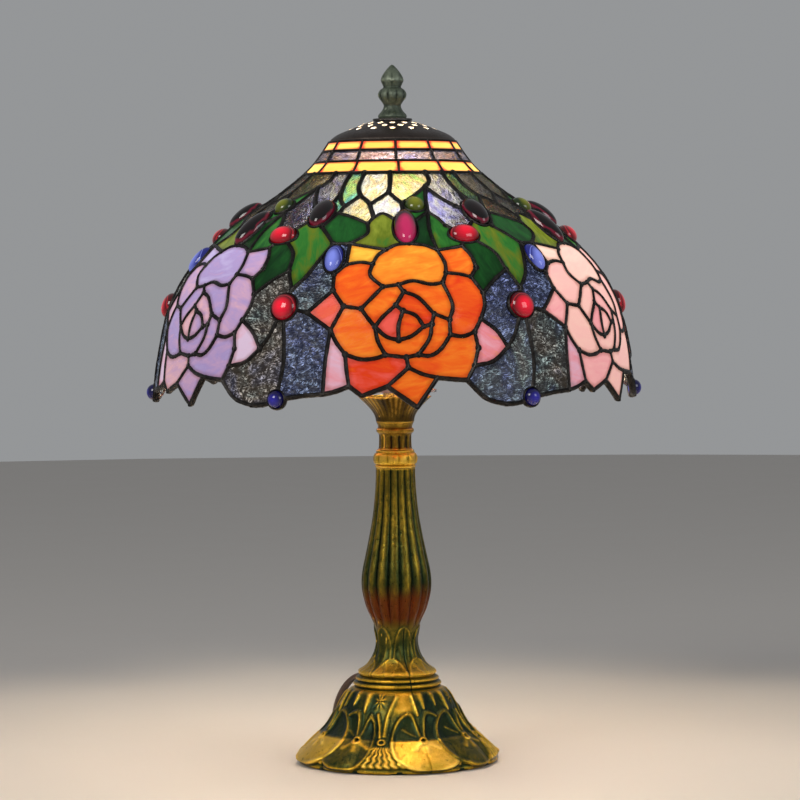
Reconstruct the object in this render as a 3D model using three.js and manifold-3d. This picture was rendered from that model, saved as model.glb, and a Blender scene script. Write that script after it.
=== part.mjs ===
// A table lamp with a leaded glass rose shade on a cast metal stand.
// Millimetres, +Z up. The origin is the middle of the felt pad's underside, and -Y is the front.
import * as THREE from "three";
import { mergeVertices } from "three/addons/utils/BufferGeometryUtils.js";
import Module from "manifold-3d";

const wasm = await Module();
wasm.setup();

// ---------------------------------------------------------------- driving dimensions

const GAP = 0.3; // clearance between pieces that touch
const ROUND = 16; // sides of a small turned piece

// The shade: six equal sectors, each with one rose and half of the ground on both sides of it.
const SECTORS = 6;
const SECTOR_DEG = 360 / SECTORS;
const ROSE_AZIMUTH = 2.3; // the front rose's middle, in degrees from the front toward +X
const GLASS = 3; // thickness of glass with its lead
const SHADE_SIDES = 36;
const CROWN_BOTTOM = 349;
const SHADE_BOTTOM = 226;
// [radius, height] down the outside of the shade, from the vented cap to the rim
const SHADE_OUTLINE = [
  [38.2, 388], [46.7, 375.5], [54.5, 367], [72, 353], [92, 340], [112, 324],
  [129, 305], [140.5, 282], [146.3, 257], [148.9, 240], [150, 226],
];
const UPPER_AMBER = { top: 385.9, bottom: 380.2 };
const MIDDLE_BAND = { top: 379.9, bottom: 373.4 };
const LOWER_AMBER = { top: 373.1, bottom: 366.4 };

// One rose's outline: [degrees from the rose's middle, height], clockwise seen from outside
const ROSE_OUTLINE = [
  [-15, 321.5], [-3, 320.5], [3, 322], [11, 319.5], [19, 320.5], [20.2, 310],
  [18.6, 301], [20.2, 293], [17.2, 270.5], [15, 248], [13.8, 243], [7.4, 243],
  [2.7, 227.4], [-3.9, 241], [-9.4, 234], [-12.8, 241], [-13.2, 258.5],
  [-17.4, 272], [-23.3, 282.5], [-17.7, 295], [-17.6, 304], [-14.7, 310.5],
];
// The rim under the dark ground, from one rose's right side to the next rose's left side
const GROUND_RIM = [
  [12, 244.5], [15.3, 236.5], [18.9, 230], [24, 228], [33, 229.5], [37.7, 235], [47.5, 238],
];
const RED_JEWEL = { azimuth: 30, height: 286, radius: 8, dome: 5, seat: 2 };

// The vented cap that the finial holds down on the harp
const CAP_HOLE = 3.8;
const VENT_ROWS = [18, 23];
const VENTS_PER_ROW = 9;

// The stand, from the table up
const PAD = { radius: 59, hole: 9, thickness: 1.5 };
const ROD = { radius: 4.85, bore: 3, bottom: 32, top: 242 };
const ROD_HOLE = ROD.radius + 0.35;
const FOOT_TOP = 54;
const FLUTES = 12;
// The foot's edge is drawn in between its lily pads
const SCALLOPS = { count: 8, turn: 110, depth: 0.028, top: 20, run: 12, from: 56.5 };
const RELIEF_HOLE = 4.9; // radius of the hole in the back of the foot

// The cord: a flat twin lead, twice this wide, that is wound up behind the foot with its plug
const CORD_RADIUS = 2.5;
const CORD_EXIT = { azimuth: 195, height: 36, radius: 36.5, rise: 15 };
const RELIEF_LENGTH = 22;
const COIL = { x: 2, y: 142, radius: 30, wide: 25, high: 6.8, bottom: 1.5, sides: 36 };
const PLUG = { x: 2.4, y: 82.7, heading: 195, length: 30, width: 24, high: 14 };

// Where the cord runs outside the coil, through its middle
const LEAD_ROUTE = [
  [-15, 56.1, 41.8], [-17.8, 66, 43.9], [-22, 75.5, 44.2], [-27.5, 84.5, 41.6], [-32.8, 92.2, 36.2],
  [-37, 98.8, 28.8], [-39.7, 105, 20.6], [-40.8, 112, 13.2], [-40.3, 120, 7.8], [-40, 122.5, 6.6],
];
const TAIL_ROUTE = [
  [43.1, 121.8, 4], [42, 112.5, 3], [38.2, 103.3, 2.8], [32.3, 95.6, 3.2], [25, 90, 5],
  [17.9, 87.1, 6.9],
];
// Inside the stand, from the hole in the foot round under the rod and up its bore
const INNER_ROUTE = [
  [-8, 30, 34.4], [-6.4, 24, 31.5], [-4, 15, 25], [-1.6, 6, 20.6], [0, 0.4, 24], [0, 0, 32],
  [0, 0, 45], [0, 0, 90], [0, 0, 140], [0, 0, 190], [0, 0, 238],
];

// ---------------------------------------------------------------- materials

const finish = (color, roughness, metalness) =>
  new THREE.MeshStandardMaterial({ color, roughness, metalness });

const FELT = finish(0x24301f, 0.95, 0);
const IRON = finish(0x4a4846, 0.7, 0.6);
const CAST_GOLD = finish(0x9c8432, 0.45, 0.8);
const CAST_GREEN = finish(0x3d4a22, 0.5, 0.7);
const STEEL = finish(0xb9bcc0, 0.35, 0.9);
const BRASS = finish(0xc9a24a, 0.3, 0.9);
const DARK_BRONZE = finish(0x1d231f, 0.45, 0.7);
const AMBER = finish(0xff9a2a, 0.3, 0);
const IRIDESCENT = finish(0x8a93a6, 0.25, 0.1);
const GROUND_GLASS = finish(0x232a38, 0.3, 0.1);
const ROSE_COLOURS = [finish(0xf0701c, 0.3, 0), finish(0xf3b2b0, 0.3, 0), finish(0xb79bd0, 0.3, 0)];
const RED = finish(0xc41522, 0.15, 0);
const WHITE_GLASS = finish(0xfdf6e4, 0.4, 0);
const PORCELAIN = finish(0xe9e6dc, 0.4, 0);
const CORD_BROWN = finish(0x2b1c16, 0.5, 0);
const BLACK_PLASTIC = finish(0x17181a, 0.4, 0);

// ---------------------------------------------------------------- geometry helpers

const lamp = new THREE.Group();

function add(name, geometry, material, parent = lamp) {
  const mesh = new THREE.Mesh(geometry, material);
  mesh.name = name;
  parent.add(mesh);
  return mesh;
}

const polar = (radius, degrees, height) => {
  const angle = THREE.MathUtils.degToRad(degrees);
  return new THREE.Vector3(radius * Math.sin(angle), -radius * Math.cos(angle), height);
};

// A solid of revolution about +Z. The profile is [radius, height] pairs, anticlockwise.
function turned(profile, sides = ROUND) {
  const points = profile.map(([radius, height]) => new THREE.Vector2(radius, height));
  return new THREE.LatheGeometry(points, sides).rotateX(Math.PI / 2);
}

// A turned ring or shell: its outside from bottom to top, then its inside from top to bottom.
const ring = (outside, inside, sides) => turned([...outside, ...inside, outside[0]], sides);

// A plain tube between two heights
const sleeve = (outer, inner, bottom, top, sides) =>
  ring([[outer, bottom], [outer, top]], [[inner, top], [inner, bottom]], sides);

// A wire or cord of round section along a curve
function rope(route, radius, sides, steps) {
  const circle = new THREE.Shape().absarc(0, 0, radius, 0, 2 * Math.PI);
  const curve = new THREE.CatmullRomCurve3(route.map((point) => new THREE.Vector3(...point)));
  return new THREE.ExtrudeGeometry(circle, { extrudePath: curve, steps, curveSegments: sides / 2 });
}

// A flat outline, raised between two heights
function slab(shape, bottom, top, curveSegments = 8) {
  const options = { depth: top - bottom, bevelEnabled: false, curveSegments };
  return new THREE.ExtrudeGeometry(shape, options).translate(0, 0, bottom);
}

function stadium(length, width) {
  const half = length / 2;
  const end = Math.min(width / 2, half);
  const shape = new THREE.Shape();
  shape.absarc(half - end, 0, end, -Math.PI / 2, Math.PI / 2);
  shape.absarc(end - half, 0, end, Math.PI / 2, 1.5 * Math.PI);
  return shape;
}

// Moves every vertex in or out from the Z axis by the factor that reshape(angle, height) gives.
function reshaped(geometry, reshape) {
  const position = geometry.getAttribute("position");
  for (let i = 0; i < position.count; i += 1) {
    const x = position.getX(i);
    const y = position.getY(i);
    const factor = reshape(Math.atan2(y, x), position.getZ(i), Math.hypot(x, y));
    position.setXY(i, x * factor, y * factor);
  }
  return geometry;
}

function toSolid(geometry) {
  const bare = geometry.clone().deleteAttribute("normal").deleteAttribute("uv");
  const merged = mergeVertices(bare, 1e-4);
  const triVerts = new Uint32Array(merged.index.array);
  const vertProperties = merged.getAttribute("position").array;
  return new wasm.Manifold(new wasm.Mesh({ numProp: 3, vertProperties, triVerts }));
}

function toGeometry(solid) {
  const mesh = solid.getMesh();
  const geometry = new THREE.BufferGeometry();
  geometry.setAttribute("position", new THREE.BufferAttribute(mesh.vertProperties, 3));
  geometry.setIndex(new THREE.BufferAttribute(mesh.triVerts, 1));
  geometry.computeVertexNormals();
  return geometry;
}

const cut = (geometry, ...tools) =>
  toGeometry(tools.reduce((rest, tool) => rest.subtract(toSolid(tool)), toSolid(geometry)));

const joined = (...pieces) =>
  toGeometry(pieces.map(toSolid).reduce((whole, piece) => whole.add(piece)));

const cylinder = (radius, bottom, top, sides = ROUND) =>
  turned([[0, bottom], [radius, bottom], [radius, top], [0, top]], sides);

// ---------------------------------------------------------------- base and stem

function makeFeltPad() {
  add("felt_pad", sleeve(PAD.radius, PAD.hole, 0, PAD.thickness, 32), FELT);
}

function makeFoot() {
  const bottom = PAD.thickness + GAP;
  const outside = [
    [62, bottom], [62.5, 6], [56, 12.5], [48.5, 18], [41, 28], [39, 33], [30, 44.6],
    [26.6, 47], [24.8, FOOT_TOP],
  ];
  const inside = [
    [ROD_HOLE, FOOT_TOP], [ROD_HOLE, 47.5], [22, 47.5], [35.5, 31.5], [37.8, 26], [46, 14.5],
    [56, 5.5], [56, bottom],
  ];
  const turn = THREE.MathUtils.degToRad(SCALLOPS.turn);
  const draw = (angle, height, radius) => {
    const valley = 1 - Math.abs(Math.cos((SCALLOPS.count / 2) * (angle - turn)));
    const low = THREE.MathUtils.clamp((SCALLOPS.top - height) / SCALLOPS.run, 0, 1);
    return radius > SCALLOPS.from ? 1 - SCALLOPS.depth * valley * low : 1;
  };
  const shell = reshaped(ring(outside, inside, 32), draw);
  const hole = placedAtExit(cylinder(RELIEF_HOLE, -14, 12, 16));
  add("foot_casting", cut(shell, hole), CAST_GOLD);
}

function makeBaseWeight() {
  const bottom = PAD.thickness + GAP;
  add("base_weight", sleeve(48, 8, bottom, 9.5, 32), IRON);
}

function makeRod() {
  add("threaded_rod", sleeve(ROD.radius, ROD.bore, ROD.bottom, ROD.top, 24), STEEL);
  add("rod_washer", sleeve(11, ROD_HOLE, 45.5, 47.2), STEEL);
  const hexagon = new THREE.CylinderGeometry(9.8, 9.8, 7, 6).rotateX(Math.PI / 2).translate(0, 0, 41.7);
  add("rod_nut", cut(hexagon, cylinder(ROD_HOLE, 30, 50, 24)), STEEL);
}

// A fluted or leafed casting: flutes pinch the outside only, not the bore.
function flutedCasting(outside, bore, depth, sides = 4 * FLUTES) {
  const flute = (angle, height, radius) =>
    radius > bore + 1 ? 1 - (depth(height) * (1 - Math.cos(FLUTES * angle))) / 2 : 1;
  const top = outside.at(-1)[1];
  const bottom = outside[0][1];
  return reshaped(ring(outside, [[bore, top], [bore, bottom]], sides), flute);
}

function makeColumn() {
  const outside = [
    [23.6, FOOT_TOP + GAP], [19.6, 60.4], [16.5, 65.3], [13.8, 75], [13.9, 82.5], [18, 94],
    [21.5, 110.8], [19.6, 123.8], [14, 153.7], [11.8, 183.3],
  ];
  const depth = (height) => (height > 84 && height < 183 ? 0.07 : 0);
  add("column_casting", flutedCasting(outside, ROD_HOLE, depth), CAST_GREEN);
}

function makeCollar() {
  const outside = [
    [11.9, 183.6], [13.4, 188], [13.4, 191], [11, 194.8],
  ];
  add("collar_casting", ring(outside, [[ROD_HOLE, 194.8], [ROD_HOLE, 183.6]]), CAST_GOLD);
}

function makeNeck() {
  const outside = [
    [10.2, 195.1], [10.1, 203.5], [11.2, 205.4], [11.2, 207.6], [11.8, 212],
  ];
  const depth = (height) => (height > 196 && height < 203 ? 0.08 : 0);
  add("neck_casting", flutedCasting(outside, ROD_HOLE, depth), CAST_GREEN);
}

function makeCup() {
  const outside = [[11.9, 212.3], [14.6, 219], [17.4, 224], [21.2, 229]];
  const inside = [[19.6, 229], [15.6, 224.2], [11, 215.6], [ROD_HOLE, 215.6], [ROD_HOLE, 212.3]];
  add("tulip_cup", ring(outside, inside, 24), CAST_GOLD);
  add("spacer_tube", sleeve(7.5, ROD_HOLE, 215.9, 230), BRASS);
}

// ---------------------------------------------------------------- lampholder and bulb

const KNOB_HEIGHT = 252;

function makeLampholder() {
  const capOutside = [[8.5, 232.4], [12, 233.2], [16, 238], [17, 244]];
  const capInside = [[15.9, 244], [15, 238.6], [11.4, 234.6], [ROD_HOLE, 234.6], [ROD_HOLE, 232.4]];
  add("lampholder_cap", ring(capOutside, capInside), BRASS);
  const shellOutside = [[17, 244.3], [17.6, 248], [17.6, 282], [18.4, 286]];
  const shellInside = [[17.2, 286], [16.4, 282], [16.4, 249], [15.9, 244.3]];
  const stemHole = (radius, from, to) =>
    cylinder(radius, from, to, 16).rotateX(Math.PI / 2).translate(0, 0, KNOB_HEIGHT);
  add("lampholder_shell", cut(ring(shellOutside, shellInside), stemHole(3, 12, 22)), BRASS);
  const block = sleeve(15.2, 3.2, 245.4, 258.6);
  add("switch_block", cut(block, stemHole(2.9, 6.5, 18)), PORCELAIN);
  const screwOutside = [[14.7, 258.9], [14.7, 281]];
  const screwInside = [[13.9, 281], [13.9, 259.9], [6.5, 259.9], [6.5, 258.9]];
  add("screw_shell", ring(screwOutside, screwInside), BRASS);
  add("centre_contact", cylinder(4.5, 258.9, 261, 16), BRASS);
}

// The turn knob that works the switch, on a stem that sticks out of the front of the lampholder
function makeKnob() {
  const profile = [
    [0, 7.2], [2.4, 7.2], [2.4, 19.4], [4.2, 19.8], [5.4, 23], [5.4, 33], [4.2, 34.5], [0, 34.5],
  ];
  const knob = turned(profile, 16).rotateX(Math.PI / 2).translate(0, 0, KNOB_HEIGHT);
  add("switch_knob", knob, BLACK_PLASTIC);
}

function makeBulb() {
  const cap = [
    [0, 261.3], [4.6, 261.3], [5, 262.8], [10.5, 266.6], [13.3, 268.1], [13.3, 281.6], [13.1, 284],
    [0, 284],
  ];
  add("bulb_cap", turned(cap), STEEL);
  const outside = [
    [12.6, 284.3], [14.6, 293.5], [22, 309.5], [27.6, 320.5], [30, 331.5], [28.6, 342.5],
    [22, 354.5], [10, 362.1], [0, 363.5],
  ];
  const inside = [
    [0, 362.3], [9.5, 361], [21, 353.8], [27.4, 342.1], [28.8, 331.5], [26.5, 320.9],
    [20.9, 310.1], [13.4, 293.8], [11.4, 284.3],
  ];
  add("bulb_glass", ring(outside, inside, 16), WHITE_GLASS);
}

// ---------------------------------------------------------------- harp

const HARP = { foot: 22, joint: 241, wire: 1.6, top: 391.6, strip: 11 };

function makeHarp() {
  const strip = slab(stadium(2 * HARP.foot + 8, HARP.strip), 230.3, 232.1);
  const post = (side) => cylinder(HARP.wire, 231, HARP.joint, 12).translate(side * HARP.foot, 0, 0);
  const saddle = joined(strip, post(-1), post(1));
  add("harp_saddle", cut(saddle, cylinder(ROD_HOLE, 225, 235, 24)), STEEL);

  const half = [
    [HARP.foot, 0, HARP.joint + GAP], [HARP.foot, 0, 250], [HARP.foot, 0, 257], [HARP.foot, 0, 263],
    [24.5, 0, 272], [31, 0, 283], [40, 0, 296], [45.5, 0, 310], [46, 0, 328], [40.5, 0, 350], [30.5, 0, 371], [17, 0, 386],
  ];
  const other = half.map(([x, y, z]) => [-x, y, z]).reverse();
  add("harp_bow", rope([...half, [0, 0, HARP.top], ...other], HARP.wire, 8, 26), STEEL);

  for (const [side, word] of [[-1, "left"], [1, "right"]]) {
    const ferrule = sleeve(3.2, HARP.wire + 0.35, 235, 247, 16);
    add(`harp_ferrule_${word}`, ferrule, BRASS).position.x = side * HARP.foot;
  }
  const stud = [
    [0, 393.5], [7, 393.5], [7, 397.1], [3.1, 397.1], [3.1, 411], [0, 411],
  ];
  add("harp_top_stud", turned(stud, 20), BRASS);
}

// ---------------------------------------------------------------- shade

const outlineCurve = new THREE.SplineCurve(
  SHADE_OUTLINE.map(([radius, height]) => new THREE.Vector2(radius, height)),
);
const outlinePoints = outlineCurve.getPoints(200);

// The shade's outer radius at a height
function shadeRadius(height) {
  const after = outlinePoints.findIndex((point) => point.y <= height);
  const [upper, lower] = [outlinePoints[Math.max(after - 1, 0)], outlinePoints[Math.max(after, 1)]];
  const share = (upper.y - height) / (upper.y - lower.y);
  return upper.x + share * (lower.x - upper.x);
}

// The direction straight out of the glass at a height, as [outward, upward]
function shadeNormal(height) {
  const fall = shadeRadius(height - 1) - shadeRadius(height + 1);
  const length = Math.hypot(2, fall);
  return [2 / length, fall / length];
}

// A ring of the shade between two heights, GLASS thick, in `rows` steps
function shadeRing(top, bottom, rows) {
  const heights = Array.from({ length: rows + 1 }, (_, i) => bottom + ((top - bottom) * i) / rows);
  const outside = heights.map((height) => [shadeRadius(height), height]);
  const inside = heights.map((height) => {
    const [outward, upward] = shadeNormal(height);
    return [shadeRadius(height) - GLASS * outward, height - GLASS * upward];
  });
  return ring(outside, inside.reverse(), SHADE_SIDES);
}

// A block that runs straight through the shade, from an outline of [azimuth, height] points
function throughBlock(outline) {
  const [near, far] = [22, 205]; // radii inside and outside the shade's wall
  const shape = new THREE.Shape(outline.map(([azimuth, height]) => new THREE.Vector2(azimuth, height)));
  const block = new THREE.ExtrudeGeometry(shape, { depth: 1, bevelEnabled: false });
  const position = block.getAttribute("position");
  for (let i = 0; i < position.count; i += 1) {
    const radius = position.getZ(i) > 0.5 ? far : near;
    const spot = polar(radius, position.getX(i), position.getY(i));
    position.setXYZ(i, spot.x, spot.y, spot.z);
  }
  return block;
}

const moved = (outline, azimuth) => outline.map(([degrees, height]) => [degrees + azimuth, height]);

// The same outline, larger about the rose's middle, so that glass cut with it stands clear
function grown(outline) {
  const [scale, middle] = [1.022, 276];
  return outline.map(([degrees, height]) => [degrees * scale, middle + (height - middle) * scale]);
}

function makeCap() {
  const outside = [
    [38.6, 386.3], [38.2, 387.6], [34.2, 390.3], [27.7, 393], [14.6, 397.8], [12, 398.6],
  ];
  const inside = [
    [CAP_HOLE, 398.6], [CAP_HOLE, 397.4], [11.4, 397.4], [14, 396.6], [27.2, 391.5],
    [33.5, 388.9], [36.9, 386.3],
  ];
  const vents = VENT_ROWS.flatMap((radius, row) =>
    Array.from({ length: VENTS_PER_ROW }, (_, i) => {
      const azimuth = ((i + row / 2) * 360) / VENTS_PER_ROW;
      const vent = new THREE.CylinderGeometry(1.4, 1.4, 14, 4).rotateX(Math.PI / 2);
      const spot = polar(radius, azimuth, 395);
      return vent.rotateZ(THREE.MathUtils.degToRad(azimuth)).translate(spot.x, spot.y, spot.z);
    }),
  );
  add("vented_cap", cut(ring(outside, inside, 32), ...vents), DARK_BRONZE);
  add("cap_washer", sleeve(12.2, CAP_HOLE, 398.9, 400.2), DARK_BRONZE);
}

function makeBands() {
  add("band_upper_amber", shadeRing(UPPER_AMBER.top, UPPER_AMBER.bottom, 1), AMBER);
  add("band_middle_iridescent", shadeRing(MIDDLE_BAND.top, MIDDLE_BAND.bottom, 1), IRIDESCENT);
  add("band_lower_amber", shadeRing(LOWER_AMBER.top, LOWER_AMBER.bottom, 1), AMBER);
  add("shade_crown", shadeRing(LOWER_AMBER.bottom - GAP, CROWN_BOTTOM + GAP, 2), IRIDESCENT);
}

// The red jewel's cabochon, its flat back a little behind the surface of the glass
function jewelShape(radius, dome, seat) {
  const rise = [0, 0.4, 0.75, 1].map((share) => {
    const angle = (share * Math.PI) / 2;
    return [radius * Math.cos(angle), dome * Math.sin(angle)];
  });
  rise[rise.length - 1][0] = 0;
  return turned([[0, -seat], [radius, -seat], ...rise], 12);
}

// Stands a piece that was made about +Z on the glass, pointing straight out.
function standOnGlass(geometry, azimuth, height) {
  const [outward, upward] = shadeNormal(height);
  const lean = Math.atan2(outward, upward);
  const spot = polar(shadeRadius(height), azimuth, height);
  return geometry
    .rotateX(lean)
    .rotateZ(THREE.MathUtils.degToRad(azimuth))
    .translate(spot.x, spot.y, spot.z);
}

function makePanels() {
  const body = toSolid(shadeRing(CROWN_BOTTOM, SHADE_BOTTOM, 5));
  for (let k = 0; k < SECTORS; k += 1) {
    const azimuth = ROSE_AZIMUTH + k * SECTOR_DEG;
    const rose = body.intersect(toSolid(throughBlock(moved(ROSE_OUTLINE, azimuth))));
    add(`rose_panel_${k + 1}`, toGeometry(rose), ROSE_COLOURS[k % ROSE_COLOURS.length]);

    const seam = 0.1; // degrees kept clear of the next ground panel
    const ground = [
      [seam, 360], [0.5 * SECTOR_DEG, 360], [SECTOR_DEG - seam, 360], [SECTOR_DEG - seam, 320],
      [SECTOR_DEG - 6, 243], ...[...GROUND_RIM].reverse(), [seam, 250],
    ];
    const rightRose = moved(grown(ROSE_OUTLINE), azimuth + SECTOR_DEG);
    const jewelAzimuth = azimuth + RED_JEWEL.azimuth;
    const hole = standOnGlass(cylinder(RED_JEWEL.radius + GAP, -12, 12, 12), jewelAzimuth, RED_JEWEL.height);
    const panel = body
      .intersect(toSolid(throughBlock(moved(ground, azimuth))))
      .subtract(toSolid(throughBlock(moved(grown(ROSE_OUTLINE), azimuth))))
      .subtract(toSolid(throughBlock(rightRose)))
      .subtract(toSolid(hole));
    add(`ground_panel_${k + 1}`, toGeometry(panel), GROUND_GLASS);

    const jewel = jewelShape(RED_JEWEL.radius, RED_JEWEL.dome, RED_JEWEL.seat);
    add(`red_jewel_${k + 1}`, standOnGlass(jewel, jewelAzimuth, RED_JEWEL.height), RED);
  }
}

function makeFinial() {
  const outside = [
    [8.6, 400.5], [8.8, 402.6], [5.3, 408.5], [8.5, 415], [7.6, 418], [5.3, 420], [6.6, 424.5],
    [5.2, 428.5], [2.6, 432], [0, 433.7],
  ];
  const thread = [[0, 411.6], [3.5, 411.6], [3.5, 400.5]];
  add("finial", ring(outside, thread, 16), DARK_BRONZE);
}

// ---------------------------------------------------------------- cord, switch and plug

// Carries a piece made along +Z to the hole in the back of the foot.
function placedAtExit(geometry) {
  const exit = polar(CORD_EXIT.radius, CORD_EXIT.azimuth, CORD_EXIT.height);
  return geometry
    .rotateX(THREE.MathUtils.degToRad(90 - CORD_EXIT.rise))
    .rotateZ(THREE.MathUtils.degToRad(CORD_EXIT.azimuth))
    .translate(exit.x, exit.y, exit.z);
}

// A bushing that is a barrel in the casting's wall, a flange outside it and a tapered tail.
function makeStrainRelief() {
  const outside = [
    [4.5, -5], [4.5, 2.6], [6.2, 3], [6.2, 5], [4.6, 6], [3.4, RELIEF_LENGTH - 0.4],
    [3.2, RELIEF_LENGTH],
  ];
  const relief = turned([[0, -5], ...outside, [0, RELIEF_LENGTH]], 20);
  add("strain_relief", placedAtExit(relief), CORD_BROWN);
}

function makeCord() {
  add("cord_lead", rope(LEAD_ROUTE, CORD_RADIUS, 8, 12), CORD_BROWN);
  add("cord_tail", rope(TAIL_ROUTE, CORD_RADIUS, 8, 6), CORD_BROWN);
  add("inner_lead", rope(INNER_ROUTE, CORD_RADIUS - 0.5, 6, 30), CORD_BROWN);
  const [outer, inner] = [COIL.radius + COIL.wide / 2, COIL.radius - COIL.wide / 2];
  const coil = sleeve(outer, inner, COIL.bottom, COIL.bottom + COIL.high, COIL.sides);
  add("cord_coil", coil.translate(COIL.x, COIL.y, 0), CORD_BROWN);
}

// A strap once round the coil's turns, at the back
function makeTie() {
  const [wide, high, strap] = [COIL.wide / 2 + 2 * GAP, COIL.high / 2 + GAP, 1.1];
  const outline = new THREE.Shape();
  outline.moveTo(-wide - strap, -high - strap);
  outline.lineTo(wide + strap, -high - strap);
  outline.lineTo(wide + strap, high + strap);
  outline.lineTo(-wide - strap, high + strap);
  const eye = new THREE.Path();
  eye.moveTo(-wide, -high);
  eye.lineTo(-wide, high);
  eye.lineTo(wide, high);
  eye.lineTo(wide, -high);
  outline.holes.push(eye);
  const tie = slab(outline, -2.5, 2.5).rotateX(Math.PI / 2).rotateZ(Math.PI / 2);
  add("coil_tie", tie.translate(COIL.x, COIL.y + COIL.radius, COIL.bottom + COIL.high / 2), BLACK_PLASTIC);
}

// The plug lies flat with its two blades pointing away from the cord.
function makePlug() {
  const half = PLUG.width / 2;
  const grip = new THREE.Shape();
  grip.moveTo(-PLUG.length / 2, -3.6);
  grip.lineTo(-4, -half * 0.8);
  grip.lineTo(PLUG.length / 2 - 3, -half);
  grip.lineTo(PLUG.length / 2, -half);
  grip.lineTo(PLUG.length / 2, half);
  grip.lineTo(PLUG.length / 2 - 3, half);
  grip.lineTo(-4, half * 0.8);
  grip.lineTo(-PLUG.length / 2, 3.6);
  const place = new THREE.Group();
  place.position.set(PLUG.x, PLUG.y, 0);
  place.rotation.z = THREE.MathUtils.degToRad(PLUG.heading);
  lamp.add(place);
  add("plug_body", slab(grip, GAP, PLUG.high), BLACK_PLASTIC, place);
  for (const [side, word] of [[-1, "left"], [1, "right"]]) {
    const blade = new THREE.BoxGeometry(17, 1.5, 6.3);
    blade.translate(PLUG.length / 2 + GAP + 8.5, side * 6.35, PLUG.high / 2);
    add(`plug_blade_${word}`, blade, BRASS, place);
  }
}

makeFeltPad();
makeFoot();
makeBaseWeight();
makeRod();
makeColumn();
makeCollar();
makeNeck();
makeCup();
makeLampholder();
makeKnob();
makeBulb();
makeHarp();
makeCap();
makeBands();
makePanels();
makeFinial();
makeStrainRelief();
makeCord();
makeTie();
makePlug();

export default lamp;
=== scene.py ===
"""The looks of a leaded glass rose lamp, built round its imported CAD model.

Lengths are in mm until a mesh is made.
"""

import math
import random

import bpy
import numpy as np
from mathutils import Matrix, Vector, geometry


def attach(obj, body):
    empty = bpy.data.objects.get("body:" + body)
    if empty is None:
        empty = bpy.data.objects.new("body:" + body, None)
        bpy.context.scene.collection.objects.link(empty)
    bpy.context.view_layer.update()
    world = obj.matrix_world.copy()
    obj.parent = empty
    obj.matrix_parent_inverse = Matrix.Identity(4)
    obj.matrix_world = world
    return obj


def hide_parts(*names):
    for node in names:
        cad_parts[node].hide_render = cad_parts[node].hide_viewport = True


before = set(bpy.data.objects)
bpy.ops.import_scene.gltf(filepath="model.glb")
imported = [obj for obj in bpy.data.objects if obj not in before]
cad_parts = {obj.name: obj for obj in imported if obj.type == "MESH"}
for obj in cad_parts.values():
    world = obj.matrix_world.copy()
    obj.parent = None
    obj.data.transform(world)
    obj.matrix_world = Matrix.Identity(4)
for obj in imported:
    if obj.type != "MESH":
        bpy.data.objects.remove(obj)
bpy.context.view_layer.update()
rng = random.Random(11)
MM = 0.001

# ------------------------------------------------------------------ the shade's dimensions
SECTORS = 6
SECTOR = 60.0  # degrees
ROSE_AZIMUTH = 2.3  # the front rose's middle, in degrees from the front toward +X
# [radius, height] down the outside of the glass
SHADE_OUTLINE = [
    (38.2, 388), (46.7, 375.5), (54.5, 367), (72, 353), (92, 340), (112, 324),
    (129, 305), (140.5, 282), (146.3, 257), (148.9, 240), (150, 226),
]
OUTER_FACE, INNER_FACE = 0.4, 2.7  # the glass's faces, behind the shade's outside
LEAD_DEPTH = 1.5  # the middle of a lead line, behind the shade's outside
LEAD_WIDE, LEAD_HIGH = 1.6, 2.0  # half sizes of a lead line
RIM_WIDE, BAND_LEAD, PANE_LEAD = 1.6, 1.15, 1.1  # half widths of the leads there
BEAD_RING, JEWEL_RING = 0.8, 1.05  # and round the jewels
JEWEL_DEPTH = 2.6  # how far a jewel reaches behind the shade's outside
DROP_SIZES, DROP_DEPTH = (1.7, 2.1), 3.0  # the drops of solder where leads meet
RIM_DROP_SIZE, RIM_DROP_DEPTH = 1.45, 1.6
HAMMERING = {"ground": 0.28, "crown": 0.2}  # how rough each kind of glass is
BULB_MIDDLE = 331.5  # height

BORE = 5.2  # the radius of the castings' holes, round the threaded rod
TIP = 0.05  # the radius at which a turned piece closes on its axis

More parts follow.
